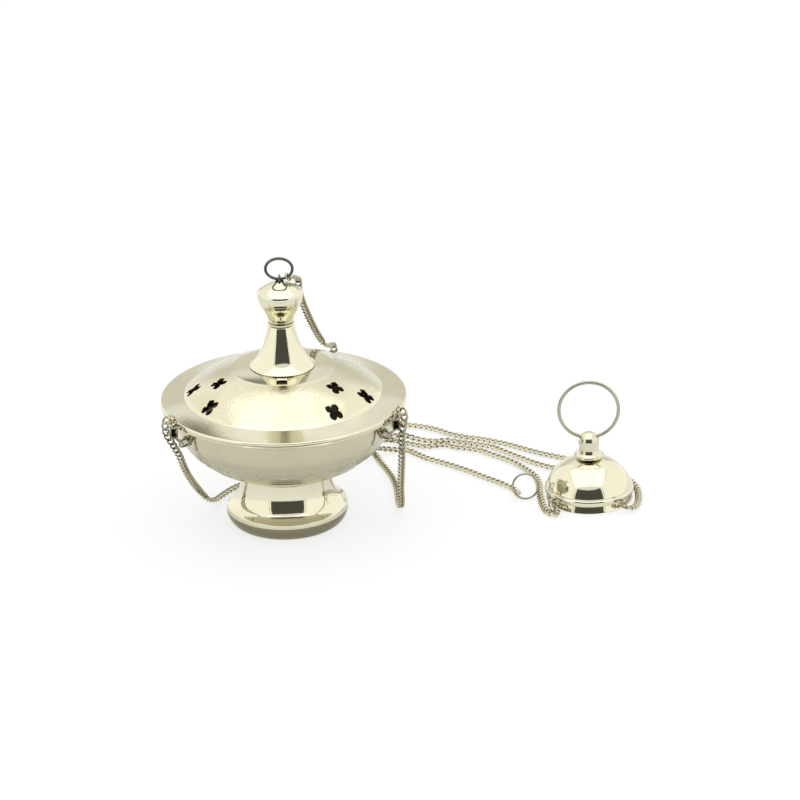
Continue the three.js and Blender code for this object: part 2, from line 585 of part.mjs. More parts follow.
const FALLS = {
  left: [
    [-61.2, -38.2, 67.4], [-59.6, -37.7, 63.8], [-57.5, -36.2, 59], [-55.1, -33, 52.2],
    [-53.9, -29, 45.8], [-52.6, -23, 38.5], [-50.6, -15, 30.2], [-48.1, -5, 20.9], [-45.5, 4, 12.9],
    [-42.6, 13, 5.8], [-39.7, 20, 2.4], [-36.2, 27.5], [-30.1, 36.7], [-21, 45.5], [-8, 54], [5, 62.5],
  ],
  right: [
    [63.5, -34, 67.5], [62.6, -33, 62], [62.4, -30, 54.1], [62, -25, 43.3], [61.5, -18, 31.4],
    [61.1, -10, 19], [61.2, -4, 10.4], [61, 2, 4.4], [60.7, 7.5, 2], [60, 15], [59.4, 28.7],
    [57.1, 44.9], [53.3, 58.6], [50.1, 68.3], [47.2, 78.5], [42, 86], [34.5, 90.5],
  ],
  back: [
    [-2.6, 73.6, 66], [-2.6, 75.5, 50], [-2.4, 77.5, 30], [-1.8, 80, 12], [-0.9, 83.5, 4.2],
    [1.2, 88, 1.8], [5, 93], [13.5, 102], [25, 111],
  ],
};

const RUNS = {
  left: [
    [15.5, 71], [26, 78], [33, 81.5, 2.4], [42, 86, 5.6], [48, 88.8, 4.2], [53.5, 91.2, 4.2],
    [61.5, 94.8, 5.6], [69, 96.4, 2.8], [75.5, 95.4], [82, 94], [88, 94.8], [96, 91.5], [106.3, 87.6],
    [112.3, 84.4], [118.6, 77.9], [127.1, 69.1], [134.6, 61.6], [141, 56.4], [149, 52], [157, 49.6],
    [163, 49.3, 2], [166.9, 48.9, 3.1],
  ],
  right: [
    [30, 96], [30.5, 102.5], [37, 105.8], [45, 103.5], [53, 98.8], [61.5, 94.4], [69, 90], [76.6, 87],
    [86.5, 88.6], [91.5, 85.4], [100, 82.6], [106.1, 79.6], [111.5, 74.2], [118.6, 67.8], [125.1, 60.7],
    [130.7, 52], [135, 43.6], [136.9, 33], [136.9, 21], [137.5, 8], [139, -1.6], [141.2, -7.2],
    [144.6, -8.2, 1.8], [144.6, -5.9, 2.6], [142.6, -4.3, 3.4],
  ],
  back: [
    [40, 118], [57, 119.5], [75.1, 114.5], [82.7, 109.5], [89.6, 103.6], [98.4, 98.6], [106.6, 95.6],
    [113.3, 92.1], [121.3, 87.2], [131.7, 79.2], [140, 73.4], [148, 68.6], [162, 61], [176, 50],
    [184.8, 38], [189.6, 25.5], [190.2, 13], [188.9, 3.5], [186.4, -2.6, 2.2], [184, -5.6, 3.1],
  ],
};

const LIFT = {
  top: [
    [6.5, 1.6, 138], [8.4, 5.6, 136.8], [9.5, 9.8, 133.4], [9.8, 13.1, 126.5], [11.2, 17, 118.2],
    [13.2, 23, 109.5], [15.7, 32, 99], [18.5, 42.5, 88.2], [21, 51, 80.5], [23.3, 57.6, 76],
    [24.8, 61.6, 74.3],
  ],
  fall: [
    [25.8, 65.2, 73.2], [26.5, 67.6, 69.5], [26.9, 68.7, 63], [27.3, 69.6, 40], [27.6, 70.2, 20],
    [28.2, 70.8, 7.5], [31, 71.5, 3], [37.5, 72.8, 3.4], [46, 76.9, 5.3], [53.5, 81.4, 3], [58.8, 83.5],
    [65.5, 82.4], [71, 76.6], [76.4, 70.6], [81.6, 66.4], [90.3, 59.6],
  ],
  end: [
    [99, 51.8], [107.2, 43.2], [114.2, 36.6], [119.8, 30.2], [123.5, 24.6, 1.9], [124.7, 16.9, 3.3],
  ],
};

// Points of the lift chain beside the spire, spread with the rim and stretched between lid and eye.
const draped = (points) => points.map(([x, y, z]) => [
  x * RIM_RADIUS / ROUTE_RIM, y * RIM_RADIUS / ROUTE_RIM,
  lidLow + (z - ROUTE_LID) * (eyeHeight - lidLow) / (ROUTE_EYE - ROUTE_LID),
]);

// The part of a curve between two of its arc-length shares.
class Stretch extends THREE.Curve {
  constructor(curve, from, to) {
    super();
    Object.assign(this, { curve, from, to });
  }

  getPoint(t, target = new THREE.Vector3()) {
    return this.curve.getPointAt(this.from + (this.to - this.from) * t, target);
  }
}

// One chain: its whole route as one curve, cut into named stretches with a small gap between them.
// The first stretch starts, and the last one ends, exactly on the route.
function layChain(stretches) {
  const route = place(stretches.flatMap(({ points }) => points));
  const curve = new THREE.CatmullRomCurve3(route, false, 'centripetal');
  curve.arcLengthDivisions = 2000;
  const length = curve.getLength();
  let placed = 0;
  let from = 0;
  stretches.forEach(({ name, points, steps }, i) => {
    placed += points.length;
    const last = i === stretches.length - 1;
    const knot = (placed - 1) / (curve.points.length - 1);
    const to = last ? 1 : lengthUpTo(curve, knot) / length;
    const end = last ? 1 : to - CHAIN_CUT / 2 / length;
    add(name, wire(new Stretch(curve, from, end), CHAIN_RADIUS, CHAIN_SIDES, steps), object, 0.95);
    chainNames.add(name);
    from = to + CHAIN_CUT / 2 / length;
  });
}

function lengthUpTo(curve, share) {
  const samples = 400;
  let total = 0;
  let previous = curve.getPoint(0);
  for (let i = 1; i <= samples; i += 1) {
    const next = curve.getPoint(share * i / samples);
    total += next.distanceTo(previous);
    previous = next;
  }
  return total;
}

function makeChains() {
  for (const [side, azimuth] of EARS) {
    layChain([
      { name: `chain_${side}_arch`, points: archOver(azimuth), steps: 9 },
      { name: `chain_${side}_fall`, points: hung(FALLS[side]), steps: 18 },
      { name: `chain_${side}_run`, points: RUNS[side], steps: 26 },
    ]);
  }
  layChain([
    { name: 'lift_chain_top', points: draped(LIFT.top), steps: 10 },
    { name: 'lift_chain_fall', points: hung(LIFT.fall), steps: 22 },
    { name: 'lift_chain_end', points: LIFT.end, steps: 6 },
  ]);
}

// Hand cap

function makeHandCap() {
  const cap = new THREE.Group();
  cap.position.set(...CAP_PLACE, 0);
  object.add(cap);

  const capTop = CAP_DOME_CENTRE + CAP_DOME_HEIGHT;
  const domeRise = CAP_BEAD_HIGH + 0.3 - CAP_DOME_CENTRE;
  const domeStart = THREE.MathUtils.radToDeg(Math.asin(domeRise / CAP_DOME_HEIGHT));
  const skin = [
    [CAP_LIP_RADIUS - CAP_LIP_WIDTH, 0], [CAP_LIP_RADIUS, 0], [CAP_LIP_RADIUS, CAP_BEAD_LOW - 0.6],
    [CAP_BEAD_RADIUS, CAP_BEAD_LOW], [CAP_BEAD_RADIUS, CAP_BEAD_HIGH - 0.6],
    ...ellipseArc(CAP_DOME_RADIUS, CAP_DOME_HEIGHT, CAP_DOME_CENTRE, domeStart, 70, 6),
    [CAP_CREST_RADIUS, capTop],
    [ROD_HOLE_RADIUS, capTop],
  ];
  add('cap_dome', shell(skin, SHEET, SEGMENTS_LARGE), cap);

  const neckLow = capTop + GAP;
  const neckTop = neckLow + CAP_NECK_HEIGHT;
  const holeHeight = neckTop - CAP_RING_HOLE_DEPTH;
  const neck = turned(outline(
    [0, neckLow + CAP_SCREW_LENGTH],
    [ROD_HOLE_RADIUS, neckLow + CAP_SCREW_LENGTH],
    [ROD_HOLE_RADIUS, neckLow],
    [CAP_NECK_FLANGE_RADIUS, neckLow],
    [CAP_NECK_FLANGE_RADIUS, neckLow + 1.2],
    [CAP_NECK_RADIUS, neckLow + 1.8, CAP_NECK_WAIST, neckLow + 0.35 * CAP_NECK_HEIGHT],
    [CAP_NECK_RADIUS, neckTop - CAP_NECK_RADIUS],
    [CAP_NECK_RADIUS, neckTop - 0.42 * CAP_NECK_RADIUS,
      0.71 * CAP_NECK_RADIUS, neckTop - 0.29 * CAP_NECK_RADIUS],
    [0.42 * CAP_NECK_RADIUS, neckTop, 0, neckTop],
  ), SEGMENTS_SMALL);
  const ringHole = new THREE.CylinderGeometry(CAP_RING_HOLE, CAP_RING_HOLE, 4 * CAP_NECK_RADIUS, 16);
  add('cap_neck', cut(neck, ringHole.rotateZ(Math.PI / 2).translate(0, 0, holeHeight)), cap);

  const headTop = capTop - SHEET - 1.3 * GAP;
  add('cap_screw', turned([
    [0, headTop - 2], [3, headTop - 1.6], [4, headTop - 0.7], [4, headTop], [ROD_RADIUS, headTop],
    [ROD_RADIUS, neckLow + CAP_SCREW_LENGTH - GAP], [0, neckLow + CAP_SCREW_LENGTH - GAP],
  ], 20), cap, 0.9);

  const halfBore = Math.sqrt(CAP_NECK_RADIUS ** 2 - (CAP_NECK_RADIUS - CAP_RING_HOLE_DEPTH) ** 2);
  const sag = CAP_RING_RADIUS - Math.sqrt(CAP_RING_RADIUS ** 2 - halfBore ** 2);
  const ringMiddle = holeHeight - sag / 2 + CAP_RING_RADIUS;
  const handRing = ring(CAP_RING_RADIUS, CAP_RING_WIRE, 40, 10).rotateX(Math.PI / 2);
  add('hand_ring', handRing.translate(0, 0, ringMiddle), cap);

  for (const [side, azimuth] of CAP_LUGS) {
    const lug = new THREE.Group();
    lug.rotation.z = degrees(azimuth);
    cap.add(lug);
    const loop = staple(CAP_BEAD_RADIUS + GAP, CAP_LUG_REACH, CAP_LUG_HALF_WIDTH, LUG_WIRE);
    add(`cap_lug_${side}`, loop.translate(0, 0, CAP_LUG_HEIGHT), lug);
    const link = ring(CAP_LINK_RADIUS, CAP_LINK_WIRE, 16, 6).rotateX(Math.PI / 2);
    const bar = CAP_BEAD_RADIUS + GAP + CAP_LUG_REACH;
    const hang = CAP_LINK_RADIUS - CAP_LINK_WIRE - LUG_WIRE - GAP;
    link.translate(hang, 0, 0).rotateY(degrees(CAP_LINK_LEAN)).translate(bar, 0, CAP_LUG_HEIGHT);
    add(`cap_link_${side}`, link, lug);
  }
}

// Pull ring

function makePullRing() {
  const hinge = new THREE.Group();
  hinge.position.set(...PULL_RING_PLACE, PULL_RING_WIRE + 0.15);
  hinge.rotation.x = -degrees(PULL_RING_LEAN);
  object.add(hinge);
  const upright = ring(PULL_RING_RADIUS, PULL_RING_WIRE, 28).rotateX(Math.PI / 2);
  add('pull_ring', upright.translate(0, 0, PULL_RING_RADIUS), hinge);
}

makeFoot();
makeBowl();
makeLiner();
makeLid();
makeSpire();
makeEyeBolt();
makeTopRing();
makeEars();
makeChains();
makeHandCap();
makePullRing();

// Origin: the middle of the base of everything but the chains.
object.updateMatrixWorld(true);
const reach = new THREE.Box3();
object.traverse((part) => {
  if (part.isMesh && !chainNames.has(part.name)) reach.expandByObject(part, true);
});
const middle = reach.getCenter(new THREE.Vector3());
object.position.set(-middle.x, -middle.y, 0);
object.updateMatrixWorld(true);

export default object;
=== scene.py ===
"""A small nickel-plated censer, laid out on a table with its chains and its hand cap.

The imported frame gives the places. Every visible piece is made here again as a smooth spun, cast or wire
piece in the same place and size. Sizes are in millimetres, in two local frames: the bowl's axis for the
censer and the chains, and the cap's axis for the hand cap. The frame's own unit is the metre.
"""
import logging
import math
from dataclasses import dataclass, field
from enum import Enum
from itertools import product
from typing import Callable, Sequence

import bmesh
import bpy
from mathutils import Matrix, Vector


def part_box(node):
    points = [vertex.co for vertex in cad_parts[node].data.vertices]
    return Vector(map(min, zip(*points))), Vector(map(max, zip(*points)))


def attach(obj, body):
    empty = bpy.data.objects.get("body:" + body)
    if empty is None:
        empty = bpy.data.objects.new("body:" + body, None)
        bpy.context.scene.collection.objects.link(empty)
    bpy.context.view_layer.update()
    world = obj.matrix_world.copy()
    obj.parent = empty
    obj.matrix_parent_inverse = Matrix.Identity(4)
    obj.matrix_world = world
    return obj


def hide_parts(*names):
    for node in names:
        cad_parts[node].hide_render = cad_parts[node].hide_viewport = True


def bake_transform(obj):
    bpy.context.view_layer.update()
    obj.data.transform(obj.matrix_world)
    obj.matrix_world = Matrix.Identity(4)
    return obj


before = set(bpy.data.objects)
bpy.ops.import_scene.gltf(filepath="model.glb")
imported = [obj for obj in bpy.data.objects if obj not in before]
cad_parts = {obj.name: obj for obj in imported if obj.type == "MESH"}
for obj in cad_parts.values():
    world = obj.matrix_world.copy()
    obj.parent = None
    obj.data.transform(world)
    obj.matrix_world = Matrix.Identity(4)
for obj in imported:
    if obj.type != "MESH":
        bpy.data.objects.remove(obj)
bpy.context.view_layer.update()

MM = 0.001
EASE = 0.3
GAP = 0.3
ROD = 2.0
BORE = 2.3
MERGED = 1e-4
TINY = 1e-9
log = logging.getLogger("censer")

Outline = list[tuple[float, float]]
Place = tuple[float, float, float]


def centre_of(node: str) -> Vector:
    """Give the middle of a node's box in plan, on the table, in metres."""
    low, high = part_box(node)
    return Vector(((low[0] + high[0]) / 2, (low[1] + high[1]) / 2, 0.0))


def heights(node: str) -> tuple[float, float]:
    """Give the heights of a node's lowest and highest point, in millimetres."""
    low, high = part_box(node)
    return low[2] / MM, high[2] / MM


def half_width(node: str) -> float:
    """Give half a node's width along X, in millimetres."""
    low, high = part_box(node)
    return (high[0] - low[0]) / MM / 2


BOWL_AXIS = centre_of("foot")
CAP_AXIS = centre_of("cap_dome")


class Side(Enum):
    """The three ears and chains, with each ear's azimuth on the bowl and on the hand cap."""

    LEFT = ("left", 212.0, 82.0)
    RIGHT = ("right", 332.0, 222.0)
    BACK = ("back", 92.0, 308.0)

    def __init__(self, word: str, bowl_azimuth: float, cap_azimuth: float) -> None:
        """Keep the word that the nodes use for the side, and its two azimuths in degrees."""
        self.word = word
        self.bowl_azimuth = bowl_azimuth
        self.cap_azimuth = cap_azimuth


# Shader nodes as expressions


class Wire:
    """One shader socket that can be added, subtracted and multiplied like a number."""

    def __init__(self, sheet: "NodeSheet", socket: bpy.types.NodeSocket) -> None:
        """Keep the socket and the sheet that its nodes are made on."""
        self.sheet = sheet
        self.socket = socket

    def _maths(self, operation: str, *values: "Wire | float") -> "Wire":
        """Add one Math node with these inputs in their order, and give its result."""
        return self.sheet.add("ShaderNodeMath", {"operation": operation}, dict(enumerate(values)))

    def __add__(self, other: "Wire | float") -> "Wire":
        """Sum."""
        return self._maths("ADD", self, other)

    __radd__ = __add__

    def __sub__(self, other: "Wire | float") -> "Wire":
        """Difference."""
        return self._maths("SUBTRACT", self, other)

    def __rsub__(self, other: "Wire | float") -> "Wire":
        """Difference, the other way round."""
        return self._maths("SUBTRACT", other, self)

    def __mul__(self, other: "Wire | float") -> "Wire":
        """Product."""
        return self._maths("MULTIPLY", self, other)

    __rmul__ = __mul__

    def clamp(self) -> "Wire":
        """Keep between 0 and 1."""
        return self._maths("MINIMUM", self._maths("MAXIMUM", self, 0.0), 1.0)

    def steps(self, low: float, high: float) -> "Wire":
        """Turn low to high into 0 to 1, smoothly.

        Args:
            low: The value that gives 0.
            high: The value that gives 1.

        Returns:
            The smooth step.
        """
        settings = {"interpolation_type": "SMOOTHSTEP"}
        inputs = {"Value": self, "From Min": low, "From Max": high, "To Min": 0.0, "To Max": 1.0}
        return self.sheet.add("ShaderNodeMapRange", settings, inputs)


class NodeSheet:
    """The node tree of one material, to which nodes are added by one method."""

    def __init__(self, name: str) -> None:
        """Make an empty material of this name with an output."""
        self.material = bpy.data.materials.new(name)
        self.material.use_nodes = True
        self.tree = self.material.node_tree
        self.tree.nodes.clear()
        self.output = self.tree.nodes.new("ShaderNodeOutputMaterial")

    def add(self, kind: str, settings: dict | None = None, inputs: dict | None = None,
            result: int | str = 0) -> Wire:
        """Add a node.

        Args:
            kind: Its type.
            settings: Its own settings, set before its sockets.
            inputs: Values or wires by the socket's name or number.
            result: Which output is handed back.

        Returns:
            That output.
        """
        node = self.tree.nodes.new(kind)
        for key, value in (settings or {}).items():
            setattr(node, key, value)
        for key, value in (inputs or {}).items():
            if isinstance(value, Wire):
                self.tree.links.new(value.socket, node.inputs[key])
            else:
                node.inputs[key].default_value = value
        return Wire(self, node.outputs[result])

    def finish(self, surface: Wire) -> bpy.types.Material:
        """Join the surface to the output and give the material."""
        self.tree.links.new(surface.socket, self.output.inputs["Surface"])
        return self.material


# Finishes


@dataclass(frozen=True)
class Nickel:
    """Polished nickel plate on brass, with faint rubbing, dulled hollows and fine spinning lines."""

    name: str
    colour: tuple[float, float, float] = (0.72, 0.69, 0.53)
    hollow: tuple[float, float, float] = (0.44, 0.41, 0.28)
    roughness: float = 0.07
    smear: float = 0.06
    grain: float = 0.12
    chased: bool = False
    engraved: bool = False
    cloud_scale: float = 45.0
    cloud_edges: tuple[float, float] = (0.42, 0.72)
    cloud_shade: float = 0.22
    grain_scale: float = 900.0
    matting_scale: float = 1500.0
    line_edges: tuple[float, float] = (0.25, 0.6)
    matted_roughness: float = 0.16
    matted_shade: float = 0.34
    matted_height: float = 0.9
    bump_strength: float = 0.12
    bump_distance: float = 0.0004

    def material(self) -> bpy.types.Material:
        """Build the material."""
        sheet = NodeSheet(self.name)
        place = sheet.add("ShaderNodeTexCoord", result="Object")
        cloud = sheet.add("ShaderNodeTexNoise", {},
                          {"Vector": place, "Scale": self.cloud_scale, "Detail": 3.0})
        grain = sheet.add("ShaderNodeTexNoise", {},
                          {"Vector": place, "Scale": self.grain_scale, "Detail": 2.0})
        worn = cloud.steps(*self.cloud_edges)
        rough = worn * self.smear + self.roughness
        shade = worn * self.cloud_shade
        height = grain * self.grain
        if self.chased:
            depth = sheet.add("ShaderNodeAttribute", {"attribute_name": "chasing"}, {}, "Fac")
            matting = sheet.add("ShaderNodeTexVoronoi", {"feature": "F1"},
                                {"Vector": place, "Scale": self.matting_scale})
            lines = depth.steps(*self.line_edges)
            band = sheet.add("ShaderNodeAttribute", {"attribute_name": "band"}, {}, "Fac")
            ground = lines * 0.5 + 0.5 if self.engraved else 1.0 - lines
            matted = ground * band
            rough = rough + matted * self.matted_roughness
            shade = (shade + matted * self.matted_shade).clamp()
            height = height + matted * matting * self.matted_height
        tint = sheet.add("ShaderNodeMix", {"data_type": "RGBA"},
                         {0: shade, 6: (*self.colour, 1.0), 7: (*self.hollow, 1.0)}, 2)
        bump = sheet.add("ShaderNodeBump", {}, {
            "Height": height, "Strength": self.bump_strength, "Distance": self.bump_distance})
        metal = sheet.add("ShaderNodeBsdfPrincipled", {}, {
            "Base Color": tint, "Metallic": 1.0, "Roughness": rough, "Normal": bump})
        return sheet.finish(metal)


@dataclass(frozen=True)
class Card:
    """A plain studio card that only reflections see."""

    name: str
    colour: tuple[float, float, float]
    strength: float

    def material(self) -> bpy.types.Material:
        """Build the glowing card."""
        sheet = NodeSheet(self.name)
        glow = sheet.add("ShaderNodeEmission", {}, {"Color": (*self.colour, 1.0), "Strength": self.strength})
        return sheet.finish(glow)


class Palette:
    """The finishes of the censer, each made once."""

    def __init__(self) -> None:
        """Make every material."""
        self.shell = Nickel("polished_nickel").material()
        self.lid = Nickel("lid_nickel", chased=True, engraved=True, roughness=0.09, grain=0.5).material()
        # Painted shade: the bowl's nickel is darker than the shell's and stands in for the shadowed table
        # that the bowl mirrors.
        self.bowl = Nickel("bowl_nickel", colour=(0.54, 0.51, 0.37), chased=True, roughness=0.1).material()
        self.ring = Nickel("ring_nickel", colour=(0.42, 0.40, 0.32), roughness=0.12, smear=0.08).material()
        self.chain = Nickel("chain_nickel", colour=(0.46, 0.43, 0.31), hollow=(0.26, 0.24, 0.16),
                            roughness=0.16, smear=0.1).material()
        self.tarnished = Nickel("tarnished_nickel", colour=(0.15, 0.145, 0.12), hollow=(0.09, 0.085, 0.07),
                                roughness=0.2, smear=0.1).material()
        # Painted shade: this dark nickel on the foot's rolled underside stands in for the shadowed table that
        # it mirrors.
        self.under = Nickel("painted_shade_edge", colour=(0.26, 0.24, 0.16), hollow=(0.16, 0.15, 0.10),
                            roughness=0.18, smear=0.1).material()
        self.inside = Nickel("dull_nickel", colour=(0.60, 0.57, 0.45), roughness=0.3, smear=0.2).material()


# Mesh making


class Profile:
    """An outline in radius and height, drawn with straight and curved pieces."""

    def __init__(self, radius: float, height: float) -> None:
        """Start at this point."""
        self.points: Outline = [(radius, height)]

    def line(self, radius: float, height: float) -> "Profile":
        """Go straight to a point."""
        self.points.append((radius, height))
        return self

    def curve(self, by: tuple[float, float], radius: float, height: float, steps: int = 8) -> "Profile":
        """Go to a point on a curve that is pulled towards another.

        Args:
            by: The point that pulls.
            radius: Radius of the end.
            height: Height of the end.
            steps: Straight pieces in it.

        Returns:
            The same profile.
        """
        start = self.points[-1]
        for i in range(1, steps + 1):
            t = i / steps
            a, b, c = (1 - t) ** 2, 2 * t * (1 - t), t * t
            self.points.append((a * start[0] + b * by[0] + c * radius, a * start[1] + b * by[1] + c * height))
        return self

    def ellipse(self, radius: float, rise: float, centre: float, start: float, stop: float,
                steps: int) -> "Profile":
        """Follow an ellipse about the axis.

        Args:
            radius: Its half width.
            rise: Its half height.
            centre: Height of its middle.
            start: First angle in degrees, from its widest point upwards.
            stop: Last angle.
            steps: Straight pieces in it.

        Returns:
            The same profile.
        """
        for i in range(steps + 1):
            angle = math.radians(start + (stop - start) * i / steps)
            self.points.append((radius * math.cos(angle), centre + rise * math.sin(angle)))
        return self


MITRE_LIMIT = 0.6


def sheet_of(skin: Outline, wall: float) -> Outline:
    """Give a skin its wall.

    Args:
        skin: Outer outline, with the outside on its right.
        wall: Thickness.

    Returns:
        The closed outline: out along the skin and back along its inside.
    """
    inner: Outline = []
    for i, (radius, height) in enumerate(skin):
        before = skin[max(i - 1, 0)]
        after = skin[min(i + 1, len(skin) - 1)]
        first = Vector((radius - before[0], height - before[1]))
        second = Vector((after[0] - radius, after[1] - height))
        along = (first.normalized() + second.normalized()).normalized()
        reach = wall
        if 0 < i < len(skin) - 1:
            reach = wall / max(along.dot(first.normalized()), MITRE_LIMIT)
        inner.append((max(radius - along.y * reach, 0.0), height + along.x * reach))
    return [*skin, *reversed(inner)]


def sealed(mesh: bmesh.types.BMesh) -> bmesh.types.BMesh:
    """Merge a mesh's doubled points and turn its faces outwards."""
    bmesh.ops.remove_doubles(mesh, verts=mesh.verts, dist=MERGED)
    bmesh.ops.recalc_face_normals(mesh, faces=mesh.faces)
    return mesh


def swept_round(mesh: bmesh.types.BMesh, steps: int) -> bmesh.types.BMesh:
    """Spin the line that a mesh holds once round the Z axis, in this many facets."""
    bmesh.ops.spin(mesh, geom=[*mesh.verts, *mesh.edges], cent=(0, 0, 0), axis=(0, 0, 1), angle=2 * math.pi,
                   steps=steps, use_merge=True, use_duplicate=False)
    return sealed(mesh)


def spun(outline: Outline, steps: int) -> bmesh.types.BMesh:
    """Spin a closed outline round the axis.

    Args:
        outline: Radius and height of its points, in millimetres; the last one joins the first.
        steps: Facets round the axis.

    Returns:
        The closed mesh in millimetres, faces outward.
    """
    mesh = bmesh.new()
    corners = [mesh.verts.new((radius, 0.0, height)) for radius, height in outline]
    for pair in zip(corners, [*corners[1:], corners[0]]):
        mesh.edges.new(pair)
    return swept_round(mesh, steps)


def ring_of(radius: float, wire: float, around: int, sides: int) -> bmesh.types.BMesh:
    """Spin a round wire into a ring about the Z axis.

    Args:
        radius: Radius of its centreline.
        wire: Radius of the wire.
        around: Facets round the ring.
        sides: Facets round the wire.

    Returns:
        The ring, faces outward.
    """
    mesh = bmesh.new()
    bmesh.ops.create_circle(mesh, segments=sides, radius=wire)
    return swept_round(placed(mesh, turn(90, "X"), move(radius)), around)


def wire_along(points: Sequence[Place], wire: float, sides: int = 12,
               closed: bool = False) -> bmesh.types.BMesh:
    """Lay a round wire along points.

    Args:
        points: Its centreline, in millimetres.
        wire: Radius of the wire.
        sides: Facets round it.
        closed: Whether it returns to its start.

    Returns:
        The closed wire, faces outward.
    """
    path = bpy.data.curves.new("wire", "CURVE")
    path.dimensions = "3D"
    path.bevel_depth = wire
    path.bevel_resolution = max(sides // 4 - 1, 0)
    path.use_fill_caps = True
    spline = path.splines.new("POLY")
    spline.points.add(len(points) - 1)
    for knot, point in zip(spline.points, points):
        knot.co = (*point, 1.0)
    spline.use_cyclic_u = closed
    carrier = bpy.data.objects.new("wire", path)
    mesh = bmesh.new()
    mesh.from_mesh(carrier.to_mesh())
    carrier.to_mesh_clear()
    bpy.data.objects.remove(carrier)
    bpy.data.curves.remove(path)
    return sealed(mesh)


def stretches(points: Sequence[Place], cuts: Sequence[int] = (), step: float = 0.6) -> list[list[Vector]]:
    """Draw one smooth curve through points and cut it at some of them.

    Args:
        points: Points that it passes.
        cuts: Numbers of the points where one stretch ends and the next one starts.
        step: Distance between the points given back.

    Returns:
        Evenly spaced points of each stretch of a centripetal curve.
    """
    knots = [Vector(p) for p in points]
    knots = [2 * knots[0] - knots[1], *knots, 2 * knots[-1] - knots[-2]]
    dense: list[Vector] = []
    starts = [0]
    for number, (p0, p1, p2, p3) in enumerate(zip(knots, knots[1:], knots[2:], knots[3:])):
        if number in cuts:
            starts.append(len(dense))
        t1 = (p1 - p0).length ** 0.5
        t2 = t1 + (p2 - p1).length ** 0.5
        t3 = t2 + (p3 - p2).length ** 0.5
        count = max(int((p2 - p1).length / step * 2), 4)
        for i in range(count):
            t = t1 + (t2 - t1) * i / count
            a1 = p0.lerp(p1, t / t1)
            a2 = p1.lerp(p2, (t - t1) / (t2 - t1))
            a3 = p2.lerp(p3, (t - t2) / (t3 - t2))
            b1 = a1.lerp(a2, t / t2)
            b2 = a2.lerp(a3, (t - t1) / (t3 - t1))
            dense.append(b1.lerp(b2, (t - t1) / (t2 - t1)))
    dense.append(knots[-2].copy())
    ends = [*starts[1:], len(dense) - 1]
    return [evenly(dense[start:end + 1], step) for start, end in zip(starts, ends)]


def evenly(points: Sequence[Vector], step: float) -> list[Vector]:
    """Space points evenly along their line.

    Args:
        points: The line.
        step: Wanted spacing.

    Returns:
        Points from its start to its end, about that far apart.
    """
    lengths = [0.0]
    for a, b in zip(points, points[1:]):
        lengths.append(lengths[-1] + (b - a).length)
    count = max(round(lengths[-1] / step), 2)
    spaced: list[Vector] = []
    at = 0
    for i in range(count + 1):
        want = lengths[-1] * i / count
        while at < len(points) - 2 and lengths[at + 1] < want:
            at += 1
        share = (want - lengths[at]) / max(lengths[at + 1] - lengths[at], TINY)
        spaced.append(points[at].lerp(points[at + 1], min(max(share, 0.0), 1.0)))
    return spaced


def join(*meshes: bmesh.types.BMesh) -> bmesh.types.BMesh:
    """Put several meshes into the first one.

    Args:
        meshes: The meshes; all but the first are used up.

    Returns:
        The first mesh.
    """
    whole = meshes[0]
    for other in meshes[1:]:
        carrier = bpy.data.meshes.new("join")
        other.to_mesh(carrier)
        whole.from_mesh(carrier)
        other.free()
        bpy.data.meshes.remove(carrier)
    return whole


def placed(mesh: bmesh.types.BMesh, *moves: Matrix) -> bmesh.types.BMesh:
    """Move a mesh by several matrices, the first one first."""
    for move in moves:
        bmesh.ops.transform(mesh, matrix=move, verts=mesh.verts)
    return mesh


def turn(degrees: float, axis: str) -> Matrix:
    """Rotation about an axis through the origin, by degrees."""
    return Matrix.Rotation(math.radians(degrees), 4, axis)


def move(x: float = 0.0, y: float = 0.0, z: float = 0.0) -> Matrix:
    """Translation in millimetres."""
    return Matrix.Translation((x, y, z))


def ray(radius: float, azimuth: float, height: float = 0.0) -> Vector:
    """Give the place at a radius, an azimuth in degrees and a height."""
    turned = math.radians(azimuth)
    return Vector((radius * math.cos(turned), radius * math.sin(turned), height))


def piece(name: str, mesh: bmesh.types.BMesh, axis: Vector, material: bpy.types.Material,
          body: str | None, *nodes: str, crease: float = 35.0) -> bpy.types.Object:
    """Turn a mesh into a finished piece of the scene.

    Args:
        name: The piece's name.
        mesh: Its mesh in millimetres, about a local axis; it is used up.
        axis: Where that axis stands, in metres.
        material: Its finish.
        body: The CAD body it rides on, or None.
        nodes: The CAD nodes that it stands for.
        crease: Edges sharper than this stay sharp, in degrees.

    Returns:
        The new object.
    """
    bmesh.ops.transform(mesh, matrix=Matrix.Translation(axis) @ Matrix.Scale(MM, 4), verts=mesh.verts)
    data = bpy.data.meshes.new(name)
    mesh.to_mesh(data)
    mesh.free()
    data.shade_smooth()
    data.set_sharp_from_angle(angle=math.radians(crease))
    data.materials.append(material)
    made = bpy.data.objects.new(name, data)
    bpy.context.scene.collection.objects.link(made)
    if body is not None:
        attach(made, body)
    if nodes:
        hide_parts(*nodes)
    log.info("%s: %d faces", name, len(data.polygons))
    return made


def cut(made: bpy.types.Object, cutter: bmesh.types.BMesh, axis: Vector) -> None:
    """Cut a shape out of a piece.

    Args:
        made: The piece.
        cutter: The closed shape in millimetres, about a local axis; it is used up.
        axis: Where that axis stands, in metres.
    """
    tool = piece(f"{made.name}_cutter", cutter, axis, made.data.materials[0], None)
    step = made.modifiers.new("cut", "BOOLEAN")
    step.operation = "DIFFERENCE"
    step.solver = "EXACT"
    step.object = tool
    bpy.context.view_layer.update()
    mesh = bpy.data.meshes.new_from_object(made.evaluated_get(bpy.context.evaluated_depsgraph_get()))
    made.modifiers.clear()
    made.data = mesh
    bpy.data.objects.remove(tool)
    log.info("%s cut: %d faces", made.name, len(mesh.polygons))


def spheroid(radius: float, depth: float, equator: float) -> Callable[[float], float]:
    """Give the height of a bowl's outside at a radius."""
    return lambda r: equator - depth * math.sqrt(1 - (r / radius) ** 2)


# Chasing: traditional scrolling foliage, drawn as strokes on an unrolled sector


